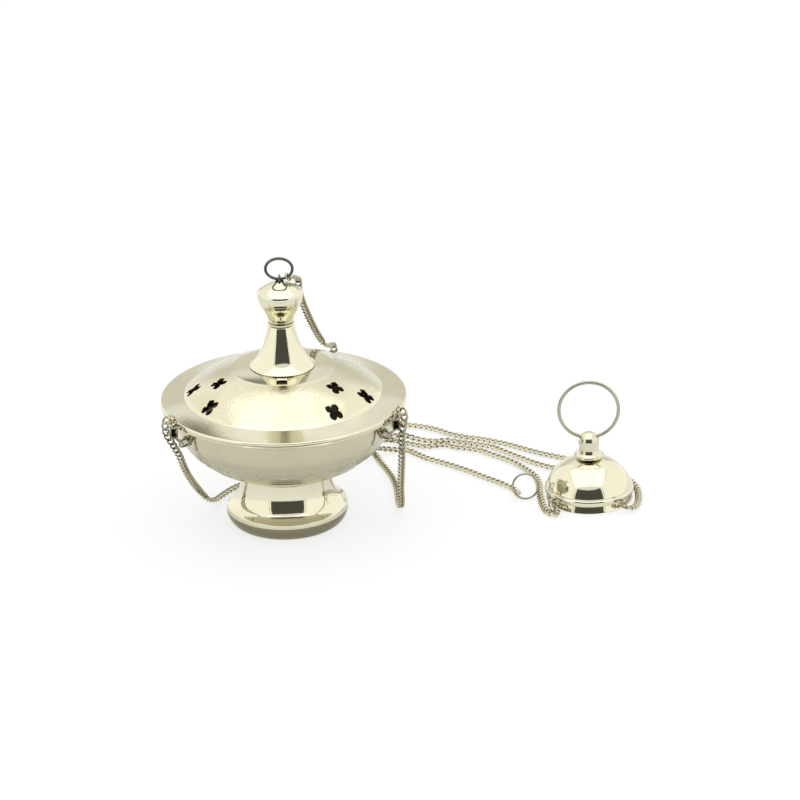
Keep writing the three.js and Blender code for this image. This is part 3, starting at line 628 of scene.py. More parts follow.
@dataclass(frozen=True)
class Stroke:
    """One stroke of the chaser's tool: a line that swells and tapers, or a leaf."""

    points: tuple[tuple[float, float], ...]
    width: float

    def finer(self, share: float) -> "Stroke":
        """The same stroke, cut with a narrower tool."""
        return Stroke(self.points, self.width * share)

    def mirrored(self) -> "Stroke":
        """The same stroke on the other side of the motif's middle."""
        return Stroke(tuple((-x, y) for x, y in self.points), self.width)


SCROLL_STEPS = 18
SCROLL_CORE = 0.25
LEAF_BEND = 24.0
LEAF_BELLY = 0.55


def scroll(x: float, y: float, radius: float, start: float, turns: float, width: float) -> Stroke:
    """Draw a spiral stroke.

    Args:
        x: Middle of the spiral.
        y: Middle of the spiral.
        radius: Its outer radius.
        start: Angle of its outer end in degrees.
        turns: How many turns it makes; below 0 it turns clockwise.
        width: Half width of the line.

    Returns:
        The stroke.
    """
    points = []
    for i in range(SCROLL_STEPS + 1):
        t = i / SCROLL_STEPS
        reach = radius * (1 - (1 - SCROLL_CORE) * t)
        angle = math.radians(start) + 2 * math.pi * turns * t
        points.append((x + reach * math.cos(angle), y + reach * math.sin(angle)))
    return Stroke(tuple(points), width)


def leaf(x: float, y: float, length: float, angle: float, width: float) -> Stroke:
    """Draw a bent leaf from its root, pointing at an angle in degrees."""
    bent = math.radians(angle + LEAF_BEND)
    middle = (x + LEAF_BELLY * length * math.cos(bent), y + LEAF_BELLY * length * math.sin(bent))
    tip = (x + length * math.cos(math.radians(angle)), y + length * math.sin(math.radians(angle)))
    return Stroke(((x, y), middle, tip), width)


class Foliage:
    """A repeated motif, and the height of the metal that it gives at a point."""

    CELL = 0.1
    TIP = 0.04
    TIP_WIDTH = 0.35

    def __init__(self, strokes: Sequence[Stroke], repeats: int, first: float, middle: float) -> None:
        """Carve the motif once into a fine grid.

        Args:
            strokes: Strokes of one motif, in millimetres along and across the band.
            repeats: Copies round the piece.
            first: Azimuth of the first copy's middle in degrees.
            middle: Radius that the strokes' along-lengths are measured on.
        """
        self.repeats = repeats
        self.first = math.radians(first)
        self.middle = middle
        self.cells: dict[tuple[int, int], float] = {}
        for stroke in strokes:
            self.carve(stroke)

    def carve(self, stroke: Stroke) -> None:
        """Raise the cells under one stroke."""
        count = len(stroke.points) - 1
        for i, (a, b) in enumerate(zip(stroke.points, stroke.points[1:])):
            dx, dy = b[0] - a[0], b[1] - a[1]
            columns, rows = (self.across(min(p, q) - stroke.width, max(p, q) + stroke.width)
                             for p, q in zip(a, b))
            for column, row in product(columns, rows):
                x, y = column * self.CELL - a[0], row * self.CELL - a[1]
                t = min(max((x * dx + y * dy) / max(dx * dx + dy * dy, TINY), 0.0), 1.0)
                along = min(max((i + t) / count, self.TIP), 1 - self.TIP)
                swell = self.TIP_WIDTH + (1 - self.TIP_WIDTH) * math.sin(math.pi * along)
                off = math.hypot(x - t * dx, y - t * dy) / (stroke.width * swell)
                if off < 1:
                    raised = math.cos(off * math.pi / 2)
                    self.cells[column, row] = max(self.cells.get((column, row), 0.0), raised)

    def across(self, low: float, high: float) -> range:
        """Give the numbers of the cells from one place to another."""
        return range(math.floor(low / self.CELL), math.ceil(high / self.CELL) + 1)

    def height(self, azimuth: float, across: float) -> float:
        """Give the chased height.

        Args:
            azimuth: Azimuth in radians.
            across: Distance across the band from its middle.

        Returns:
            0 on the ground to 1 on the crest of a stroke.
        """
        sector = 2 * math.pi / self.repeats
        turned = (azimuth - self.first + sector / 2) % sector - sector / 2
        x, y = turned * self.middle / self.CELL, across / self.CELL
        column, row = math.floor(x), math.floor(y)
        right, up = x - column, y - row
        height = 0.0
        for i, j, share in ((0, 0, (1 - right) * (1 - up)), (1, 0, right * (1 - up)),
                            (0, 1, (1 - right) * up), (1, 1, right * up)):
            height += share * self.cells.get((column + i, row + j), 0.0)
        return height


def lid_motif() -> list[Stroke]:
    """Strokes of the lid's motif: a palmette between scrolls, mirrored about its middle."""
    half = [
        scroll(6.2, -1.5, 4.2, 170, -1.35, width=0.62),
        scroll(14.6, 2.2, 4.4, 200, 1.4, width=0.62),
        scroll(22.0, -4.5, 3.4, 160, -1.3, width=0.55),
        scroll(8.2, 7.4, 2.6, 230, 1.2, width=0.5),
        scroll(15.8, -7.6, 2.6, 140, -1.2, width=0.5),
        scroll(25.5, 5.2, 3.0, 210, 1.25, width=0.5),
        leaf(2.2, -9.5, 5.2, 62, 0.95), leaf(4.6, -8.2, 4.6, 28, 0.9), leaf(10.8, -4.4, 4.4, -38, 0.85),
        leaf(10.2, 2.4, 4.2, 58, 0.85), leaf(18.4, 6.6, 4.4, 40, 0.85), leaf(18.6, -1.6, 4.2, -20, 0.8),
        leaf(12.6, 9.4, 4.0, 12, 0.8), leaf(21.2, 9.8, 3.6, -10, 0.75), leaf(20.6, -9.6, 4.2, 8, 0.8),
        leaf(26.4, -1.2, 4.0, 50, 0.8), leaf(27.6, -8.4, 3.8, 76, 0.75), leaf(2.4, 8.6, 3.2, 100, 0.8),
        Stroke(((1.6, -4.0), (2.4, 0.5), (1.4, 4.6), (0.3, 6.8)), 0.75),
        Stroke(((10.2, -1.2), (12.6, -3.4), (15.2, -3.6), (18.6, -4.8)), 0.5),
    ]
    middle = [Stroke(((0.0, -10.4), (0.0, -2.0)), 1.15), Stroke(((0.0, 0.0), (0.0, 11.2)), 0.9)]
    return [stroke.finer(0.55) for stroke in (*half, *(s.mirrored() for s in half), *middle)]


def bowl_motif() -> list[Stroke]:
    """Strokes of the bowl's motif: a running scroll with leaves, under a small palmette."""
    half = [
        scroll(4.6, -0.4, 3.3, 165, -1.3, width=0.5),
        scroll(11.0, 0.6, 3.0, 190, 1.3, width=0.5),
        scroll(16.4, -1.2, 2.3, 160, -1.2, width=0.45),
        leaf(7.4, 2.4, 3.4, 34, 0.75), leaf(7.0, -3.6, 3.6, -12, 0.75), leaf(13.6, -3.6, 3.4, 18, 0.7),
        leaf(13.4, 3.4, 3.2, -4, 0.7), leaf(1.2, -4.4, 3.0, 40, 0.75), leaf(17.4, 2.4, 2.6, 30, 0.65),
    ]
    middle = [Stroke(((0.0, -4.8), (0.0, 0.4)), 0.95), Stroke(((0.0, 1.4), (0.0, 5.0)), 0.8)]
    return [*half, *(stroke.mirrored() for stroke in half), *middle]


# The censer


@dataclass
class Fastening:
    """A plain washer and a hexagon nut on a bolt, each in place of its node."""

    place: str
    body: str
    flats: float = 7.0
    bore_play: float = 0.4
    chamfer: float = 0.35

    def build(self, palette: Palette) -> None:
        """Make the washer, with eased edges, and the nut, with chamfered corners."""
        node = f"{self.place}_washer"
        radius = half_width(node)
        low, high = heights(node)
        ring = Profile(BORE, low).line(radius - EASE, low).line(radius, low + EASE)
        ring.line(radius, high - EASE).line(radius - EASE, high).line(BORE, high)
        piece(f"{node}_plate", spun(ring.points, 72), BOWL_AXIS, palette.inside, self.body, node)

        node = f"{self.place}_nut"
        low, high = heights(node)
        mesh = bmesh.new()
        bmesh.ops.create_circle(mesh, segments=6, radius=self.flats / math.sqrt(3), cap_ends=True)
        core = list(mesh.faces)
        bmesh.ops.inset_individual(mesh, faces=core, thickness=self.flats / 2 - BORE - self.bore_play)
        bmesh.ops.delete(mesh, geom=core, context="FACES_ONLY")
        bmesh.ops.solidify(mesh, geom=mesh.faces, thickness=high - low)
        placed(mesh, move(z=low - min(vert.co.z for vert in mesh.verts)))
        upright = [edge for edge in mesh.edges if abs(edge.verts[0].co.z - edge.verts[1].co.z) > 1]
        corners = [edge for edge in upright if edge.verts[0].co.xy.length > self.flats / 2]
        bmesh.ops.bevel(mesh, geom=corners, offset=self.chamfer, affect="EDGES", segments=2, profile=0.5,
                        material=-1)
        bmesh.ops.recalc_face_normals(mesh, faces=mesh.faces)
        piece(f"{node}_hex", mesh, BOWL_AXIS, palette.inside, self.body, node)


@dataclass
class Foot:
    """Spun foot with a rolled edge, and the bolt that holds the bowl on it."""

    lip_radius: float = 25.2
    rest_radius: float = 28.6
    edge_radius: float = 32.6
    edge_height: float = 6.0
    edge_pull: float = 1.8
    waist_height: float = 8.8
    shoulder_radius: float = 32.3
    shoulder_height: float = 9.9
    flare_height: float = 14.3
    neck_radius: float = 24.3
    seat_radius: float = 14.0
    # Faces of the foot below this height that face downwards take the painted shade of the table's shadow.
    painted_shade_height: float = 7.4
    painted_shade_slope: float = 0.1
    wall: float = 1.0
    head_radius: float = 4.5
    head_height: float = 2.2

    def build(self, palette: Palette, bowl: "Bowl") -> None:
        """Make the foot and its fastenings.

        Args:
            palette: The finishes.
            bowl: The bowl that it carries.
        """
        under = spheroid(bowl.radius, bowl.depth, bowl.equator)
        seat = [(r, under(r) - GAP) for r in
                (self.neck_radius - 0.6, (self.neck_radius + self.seat_radius) / 2, self.seat_radius)]
        skin = Profile(self.lip_radius, 0.0).line(self.rest_radius, 0.0)
        skin.curve((self.edge_radius - 0.8, self.edge_pull), self.edge_radius, self.edge_height, 12)
        skin.curve((self.edge_radius, self.waist_height), self.shoulder_radius, self.shoulder_height, 10)
        skin.line(self.shoulder_radius - 0.35, self.shoulder_height + EASE)
        skin.curve((self.neck_radius, self.flare_height), self.neck_radius, seat[0][1] - 0.7, 20)
        outline = sheet_of([*skin.points, *seat], self.wall)
        shell = piece("foot_shell", spun(outline, 160), BOWL_AXIS, palette.shell, "base", "foot", crease=28)
        # Painted shade: low faces that face the table get the dark nickel in place of the shadow that they
        # mirror.
        shell.data.materials.append(palette.under)
        for face in shell.data.polygons:
            if face.center.z < self.painted_shade_height * MM and face.normal.z < self.painted_shade_slope:
                face.material_index = 1
        Fastening("foot", "base").build(palette)
        Fastening("lid", "lid").build(palette)
        low, high = heights("foot_bolt")
        bolt = Profile(0.0, low).line(ROD - EASE, low).line(ROD, low + EASE)
        bolt.line(ROD, high - self.head_height).line(self.head_radius, high - self.head_height)
        bolt.curve((self.head_radius, high - 0.1), 0.0, high, 8)
        piece("foot_screw", spun(bolt.points, 48), BOWL_AXIS, palette.inside, "base", "foot_bolt")


@dataclass
class Bowl:
    """Spun bowl with a flat rim and a chased band, and the liner for the coals."""

    radius: float = 60.9
    depth: float = 42.5
    equator: float = 68.6
    rim_radius: float = 65.5
    rim_underside: float = 68.8
    wall: float = 1.1
    band: tuple[float, float] = (38.5, 56.0)
    skin_depth: float = 0.4
    margin: float = 1.2
    stretch: float = 1.25
    border: float = 0.9
    border_matting: float = 0.3
    beads: int = 90
    bead_width: float = 0.85
    relief: float = 0.28
    arcs: tuple[tuple[float, float, int], ...] = ((-47, -12, 60), (-11, -5, 4))
    lower_end: float = -48.0
    liner_wall: float = 0.8
    liner_floor: float = 16.0
    liner_bend: float = 39.5
    liner_side: float = 46.5
    liner_lip: float = 49.5
    liner_drop: float = 3.2
    motif: Foliage = field(default_factory=lambda: Foliage(bowl_motif(), 8, 270, 56.0))

    def build(self, palette: Palette) -> None:
        """Make the bowl and its liner."""
        hole = -90 + math.degrees(math.asin(BORE / self.radius))
        skin = Profile(*self.at(hole))
        for start, stop, steps in ((hole, self.lower_end, 24), *self.arcs):
            skin.ellipse(self.radius, self.depth, self.equator, start, stop, steps)
        skin.curve((self.radius + 0.3, self.rim_underside - 0.1), self.radius + 2.2, self.rim_underside, 8)
        skin.line(self.rim_radius - 0.4, self.rim_underside).line(self.rim_radius, self.rim_underside + EASE)
        skin.points.pop(0)
        mesh = spun(sheet_of(skin.points, self.wall), 540)
        self.chase(mesh)
        piece("bowl_shell", mesh, BOWL_AXIS, palette.bowl, "base", "bowl", crease=40)

        floor, top = heights("coal_liner")
        rim = top - self.liner_wall
        liner = Profile(0.0, floor).line(self.liner_floor, floor)
        liner.curve((self.liner_bend, floor + 0.6), self.liner_side, rim - self.liner_drop, 22)
        liner.curve((self.liner_side + 0.4, rim), self.liner_lip, rim, 8)
        liner.line(half_width("coal_liner") - 0.1, rim)
        mesh = spun(sheet_of(liner.points, self.liner_wall), 128)
        dish = piece("liner_dish", mesh, BOWL_AXIS, palette.inside, "liner", "coal_liner")

    def at(self, angle: float) -> tuple[float, float]:
        """Give the point of the outside at an angle of the ellipse, in degrees."""
        turned = math.radians(angle)
        return self.radius * math.cos(turned), self.equator + self.depth * math.sin(turned)

    def chase(self, mesh: bmesh.types.BMesh) -> None:
        """Raise the foliage and its two beaded borders on the outside of the bowl."""
        chasing = mesh.verts.layers.float.new("chasing")
        band = mesh.verts.layers.float.new("band")
        low, high = self.band
        middle = (low + high) / 2
        for vert in mesh.verts:
            radius = vert.co.xy.length
            drop = (self.equator - vert.co.z) / self.depth
            outside = radius > self.radius * math.sqrt(max(1 - drop ** 2, 0)) - self.skin_depth
            vert[chasing] = 1.0
            if not outside or not low - self.margin <= vert.co.z <= high + self.margin:
                continue
            azimuth = math.atan2(vert.co.y, vert.co.x)
            across = (vert.co.z - middle) * self.stretch
            edge = min(vert.co.z - low, high - vert.co.z)
            if edge > self.border:
                height = self.motif.height(azimuth, across)
                vert[band] = min(edge - self.border, 1.0)
            else:
                bead = abs(math.sin(azimuth * self.beads)) ** 0.5
                height = bead * max(1 - abs(edge) / self.bead_width, 0)
                vert[band] = self.border_matting
            vert[chasing] = height
            vert.co += vert.normal * (height * self.relief)


@dataclass
class Lid:
    """Spun lid: an upright edge, a plain sloping border, a chased and pierced field and a plain crown."""

    edge_radius: float = 65.5
    edge_height: float = 1.5
    step_radius: float = 52.9
    step_rise: float = 3.8
    crown_radius: float = 27.0
    crown_rise: float = 18.2
    top_rise: float = 19.4
    seat_radius: float = 17.4
    belly: float = 1.6
    belly_rise: float = 13.8
    wall: float = 1.1
    relief: float = -0.08
    field_edge: float = 0.8
    field_fade: float = 1.5
    inner_margin: float = 1.4
    outer_margin: float = 1.2
    flattest: float = 0.2
    register_radius: float = 58.3
    register_wall: float = 1.1
    register_drop: float = 3.2
    register_rise: float = 1.6
    groups: int = 3
    first_group: float = 201.0
    outer_ring: float = 47.7
    outer_spread: float = 16.0
    inner_ring: float = 36.0
    span: float = 9.4
    lobe: float = 2.0
    lobe_arc: float = 224.0
    middle: float = 2.6
    cutter_drop: float = 6.0
    cutter_height: float = 40.0
    vents: tuple[float, float] = (270.0, 90.0)
    vent_radius: float = 21.7
    vent_size: Place = (3.0, 5.6, 12.0)
    motif: Foliage = field(default_factory=lambda: Foliage(lid_motif(), 3, 261, 40.0))

    @property
    def low(self) -> float:
        """Height of the lid's lowest edge, without its register ring."""
        return heights("bowl")[1] + GAP

    def build(self, palette: Palette) -> None:
        """Make the lid."""
        z = self.low
        edge = z + self.edge_height
        skin = Profile(self.edge_radius - 0.2, z).line(self.edge_radius, z + 0.2)
        skin.line(self.edge_radius, edge - 0.5)
        skin.curve((self.edge_radius, edge + 0.2), self.edge_radius - 1.1, edge + 0.25, 8)
        skin.line(self.step_radius + 0.5, z + self.step_rise - 0.1).line(self.step_radius, z + self.step_rise)
        skin.curve(((self.step_radius + self.crown_radius) / 2 + self.belly, z + self.belly_rise),
                   self.crown_radius, z + self.crown_rise, 70)
        skin.line(self.crown_radius - 0.6, z + self.crown_rise + 0.08)
        skin.line(self.seat_radius, z + self.top_rise - 0.4)
        skin.line(BORE, z + self.top_rise)
        mesh = spun(sheet_of(skin.points, self.wall), 720)
        self.chase(mesh)
        lid = piece("lid_shell", mesh, BOWL_AXIS, palette.lid, "lid", "lid", crease=40)
        self.pierce(lid)
        low, inner = z - self.register_drop, self.register_radius - self.register_wall
        ring = Profile(inner, low).line(self.register_radius - EASE, low)
        ring.line(self.register_radius, low + EASE)
        ring.line(self.register_radius, z + self.register_rise).line(inner, z + self.register_rise)
        piece("lid_register", spun(ring.points, 160), BOWL_AXIS, palette.inside, "lid")

    def chase(self, mesh: bmesh.types.BMesh) -> None:
        """Engrave the foliage in the lid's field, and mark the field for the matting."""
        chasing = mesh.verts.layers.float.new("chasing")
        band = mesh.verts.layers.float.new("band")
        middle = (self.step_radius + self.crown_radius) / 2
        for vert in mesh.verts:
            radius = vert.co.xy.length
            vert[chasing] = 1.0
            near = self.crown_radius - self.inner_margin < radius < self.step_radius + self.outer_margin
            if vert.normal.z < self.flattest or not near:
                continue
            azimuth = math.atan2(vert.co.y, vert.co.x)
            inside = min(radius - self.crown_radius, self.step_radius - radius) - self.field_edge
            depth = self.motif.height(azimuth, middle - radius) if inside > 0 else 0.0
            vert[band] = min(max(inside, 0.0) / self.field_fade, 1.0)
            vert[chasing] = depth
            vert.co += vert.normal * (depth * self.relief)

    def pierce(self, lid: bpy.types.Object) -> None:
        """Cut the quatrefoils and the vents through the lid."""
        cutter = bmesh.new()
        for group in range(self.groups):
            middle = self.first_group + 360 / self.groups * group
            join(cutter, self.quatrefoil(self.outer_ring, middle - self.outer_spread),
                 self.quatrefoil(self.outer_ring, middle + self.outer_spread),
                 self.quatrefoil(self.inner_ring, middle))
        for azimuth in self.vents:
            vent = bmesh.new()
            bmesh.ops.create_cube(vent, size=1.0)
            join(cutter, placed(vent, Matrix.Diagonal((*self.vent_size, 1.0)),
                                move(self.vent_radius, 0, self.low + self.crown_rise), turn(azimuth, "Z")))
        cut(lid, cutter, BOWL_AXIS)

    def quatrefoil(self, radius: float, azimuth: float) -> bmesh.types.BMesh:
        """Make one upright cutter: four round lobes about a square middle.

        Args:
            radius: Distance of its middle from the axis.
            azimuth: Its azimuth in degrees.

        Returns:
            The cutter as one closed prism.
        """
        reach = self.span / 2 - self.lobe
        steps = 12
        mesh = bmesh.new()
        corners: list[Vector] = []
        for number in range(4):
            along = 45 + 90 * number
            centre = ray(reach, along)
            corners += [centre + ray(self.lobe, along + self.lobe_arc * (i / steps - 0.5))
                        for i in range(steps + 1)]
            corners.append(ray(self.middle, along + 45))
        face = mesh.faces.new([mesh.verts.new(corner) for corner in corners])
        grown = bmesh.ops.extrude_face_region(mesh, geom=[face])
        tops = [g for g in grown["geom"] if isinstance(g, bmesh.types.BMVert)]
        bmesh.ops.translate(mesh, vec=(0, 0, self.cutter_height), verts=tops)
        bmesh.ops.recalc_face_normals(mesh, faces=mesh.faces)
        return placed(mesh, move(radius, 0, self.low - self.cutter_drop), turn(azimuth, "Z"))


@dataclass
class Spire:
    """Skirt, beaded collar and knop, the long eye bolt through them, and the top ring."""

    skirt_radius: float = 17.4
    skirt_height: float = 23.1
    knee_radius: float = 10.9
    knee_height: float = 9.5
    waist: float = 6.9
    collar: float = 7.2
    skirt_pull: tuple[float, float] = (3.5, 2.6)
    neck_pull: tuple[float, float] = (1.8, 5.2)
    knop: float = 12.25
    cap_pulls: tuple[tuple[float, float], ...] = ((0.6, 0.2), (3.0, 0.4), (6.3, 0.78))
    cone: float = 10.2
    cone_height: float = 8.4
    shoulder: float = 6.5
    band: float = 1.7
    wall: float = 1.0
    beads: int = 48
    bead_depth: float = 0.03
    eye: float = 1.8
    eye_wire: float = 0.6
    ring_radius: float = 7.1
    ring_wire: float = 0.8
    ring_lean: float = 20.0
    link_radius: float = 2.05
    link_wire: float = 0.5
    link_place: float = 38.0

    @property
    def hinge(self) -> float:
        """Height of the eye's middle, which the top ring swings about."""
        return heights("eye_bolt")[1] - self.eye - self.eye_wire

    def build(self, palette: Palette) -> None:
        """Make every piece of the spire."""
        self.make_skirt(palette)
        self.make_collar(palette)
        self.make_knop(palette)
        self.make_eye(palette)
        self.make_ring(palette)

    def make_skirt(self, palette: Palette) -> None:
        """Make the hollow flared skirt."""
        low = heights("spire_skirt")[0]
        top = low + self.skirt_height
        skirt = Profile(self.skirt_radius, low + 0.1).line(self.skirt_radius + 0.05, low + 0.3)
        knee = low + self.knee_height
        inward, rise = self.skirt_pull
        skirt.curve((self.skirt_radius - inward, low + rise), self.knee_radius, knee, 16)
        outward, rise = self.neck_pull
        skirt.curve((self.waist + outward, knee + rise), self.waist, top - 0.6, 16)
        skirt.curve((self.waist - 0.05, top), self.waist - 0.5, top, 4).line(BORE, top)
        mesh = spun(sheet_of(skirt.points, self.wall), 128)
        piece("spire_cone", mesh, BOWL_AXIS, palette.shell, "lid", "spire_skirt")

    def make_collar(self, palette: Palette) -> None:
        """Make the thin ring between skirt and knop, with its beads."""
        low, high = heights("spire_collar")
        collar = Profile(BORE, low).line(self.collar - 0.5, low)
        collar.curve((self.collar, low), self.collar, (low + high) / 2, 5)
        collar.curve((self.collar, high), self.collar - 0.5, high, 5).line(BORE, high)
        mesh = spun(collar.points, 192)
        for vert in mesh.verts:
            if vert.co.xy.length > self.collar - 0.3:
                azimuth = math.atan2(vert.co.y, vert.co.x)
                vert.co.xy *= 1 - self.bead_depth * (1 - abs(math.cos(azimuth * self.beads / 2)) ** 0.6)
        piece("beaded_collar", mesh, BOWL_AXIS, palette.shell, "lid", "spire_collar", crease=60)

    def make_knop(self, palette: Palette) -> None:
        """Make the solid turned knop."""
        low, high = heights("spire_knop")
        band = low + self.cone_height + self.shoulder
        cap = band + self.band
        rise = high - cap
        knop = Profile(BORE, low).line(self.waist - 0.4, low).line(self.waist - 0.1, low + 0.3)
        knop.curve((self.waist + 0.4, low + 4), self.cone, low + self.cone_height, 12)
        knop.curve((self.knop - 0.6, band - 4), self.knop - 0.1, band - 0.1, 12).line(self.knop, band + 0.2)
        knop.line(self.knop, cap - 0.3).line(self.knop - 0.15, cap + 0.1)
        edge, fold, crown = ((self.knop - inward, cap + rise * share) for inward, share in self.cap_pulls)
        knop.curve(edge, *fold, 8).curve(crown, BORE, high, 14)
        mesh = spun(knop.points, 128)
        piece("spire_finial", mesh, BOWL_AXIS, palette.shell, "lid", "spire_knop", crease=30)

    def make_eye(self, palette: Palette) -> None:
        """Make the long bolt and its eye."""
        low = heights("eye_bolt")[0]
        foot = self.hinge - self.eye
        stem = Profile(0.0, low).line(ROD - EASE, low).line(ROD, low + EASE)
        stem.line(ROD, foot - self.eye_wire - 0.1).curve((ROD, foot), 0.0, foot, 6)
        loop = placed(ring_of(self.eye, self.eye_wire, 40, 12), turn(90, "Y"), move(z=self.hinge))
        piece("eye_rod", join(spun(stem.points, 32), loop), BOWL_AXIS, palette.tarnished, "lid", "eye_bolt")

    def make_ring(self, palette: Palette) -> None:
        """Make the top ring and the link that the lift chain hangs on."""
        leaned = (turn(self.ring_lean, "X"), move(z=self.hinge))
        upright = (turn(90, "X"), move(z=self.ring_radius))
        loop = placed(ring_of(self.ring_radius, self.ring_wire, 96, 16), *upright, *leaned)
        piece("suspension_ring", loop, BOWL_AXIS, palette.tarnished, "top_ring", "top_ring")
        out = ray(self.ring_radius + 0.4, self.link_place - 90)
        link = placed(ring_of(self.link_radius, self.link_wire, 36, 10), turn(90, "X"), turn(90, "Z"),
                      turn(-self.link_place, "Y"), move(out.x, 0, self.ring_radius + out.y), *leaned)
        piece("lift_jump_ring", link, BOWL_AXIS, palette.chain, "top_ring", "lift_link")


@dataclass
class Ears:
    """The lugs and rings where the side chains join the bowl and pass the lid."""

    lug_height: float = 60.2
    reach: float = 3.6
    half_height: float = 1.9
    wire: float = 0.6
    ring_radius: float = 3.0
    ring_wire: float = 0.55
    ring_lean: float = 38.0
    plate_size: Place = (1.15, 5.2, 5.2)
    plate_corner: float = 1.4
    plate_middle: float = 0.65
    plate_face: float = 1.2
    root: float = 0.3
    guide_root: float = 0.4
    guide_reach: float = 4.8
    guide_half_width: float = 4.0
    guide_rise: float = 0.75

    def build(self, palette: Palette, bowl: Bowl, lid: Lid) -> None:
        """Make the lugs and rings of the three ears."""
        drop = bowl.equator - self.lug_height
        wall = bowl.radius * math.sqrt(1 - (drop / bowl.depth) ** 2)
        slope = math.degrees(math.atan((bowl.radius / bowl.depth) ** 2 * drop / wall))
        face = self.plate_face
        foot = face + self.reach - self.wire - self.ring_wire - GAP
        for side in Side:
            out = turn(side.bowl_azimuth, "Z")
            on_wall = (turn(slope, "Y"), move(wall, 0, self.lug_height), out)
            plate = bmesh.new()
            bmesh.ops.create_cube(plate, size=1.0)
            placed(plate, Matrix.Diagonal((*self.plate_size, 1.0)), move(self.plate_middle))
            edges = [e for e in plate.edges if abs(e.verts[0].co.x - e.verts[1].co.x) > 0.5]
            bmesh.ops.bevel(plate, geom=edges, offset=self.plate_corner, affect="EDGES", segments=5,
                            profile=0.5, material=-1)
            loop = staple(face - self.root, self.reach + self.root, self.half_height, self.wire)
            lug = placed(join(plate, placed(loop, turn(90, "X"))), *on_wall)
            piece(f"bowl_staple_{side.word}", lug, BOWL_AXIS, palette.ring, "base", f"bowl_lug_{side.word}")
            ring = placed(ring_of(self.ring_radius, self.ring_wire, 48, 12), turn(90, "Y"),
                          move(z=self.ring_radius), turn(self.ring_lean - slope, "Y"), move(foot), *on_wall)
            piece(f"bowl_jump_ring_{side.word}", ring, BOWL_AXIS, palette.chain, "base",
                  f"bowl_ring_{side.word}")
            guide = staple(lid.edge_radius - self.guide_root, self.guide_reach, self.guide_half_width,
                           self.wire)
            piece(f"lid_guide_{side.word}", placed(guide, move(z=lid.low + self.guide_rise), out), BOWL_AXIS,
                  palette.ring, "lid", f"lid_lug_{side.word}")


STAPLE = ((0.0, -1.0), (0.45, -1.0), (0.9, -0.62), (1.0, 0.0), (0.9, 0.62), (0.45, 1.0), (0.0, 1.0))


def staple(start: float, reach: float, half: float, wire: float) -> bmesh.types.BMesh:
    """Bend a wire into a rounded staple that reaches along +X.

    Args:
        start: Where its ends are.
        reach: How far its bar stands from them.
        half: Half its width along Y.
        wire: Radius of the wire.

    Returns:
        The closed wire.
    """
    knots = [(start + reach * along, half * across, 0.0) for along, across in STAPLE]
    return wire_along([tuple(p) for p in stretches(knots, step=0.35)[0]], wire)


# Chains


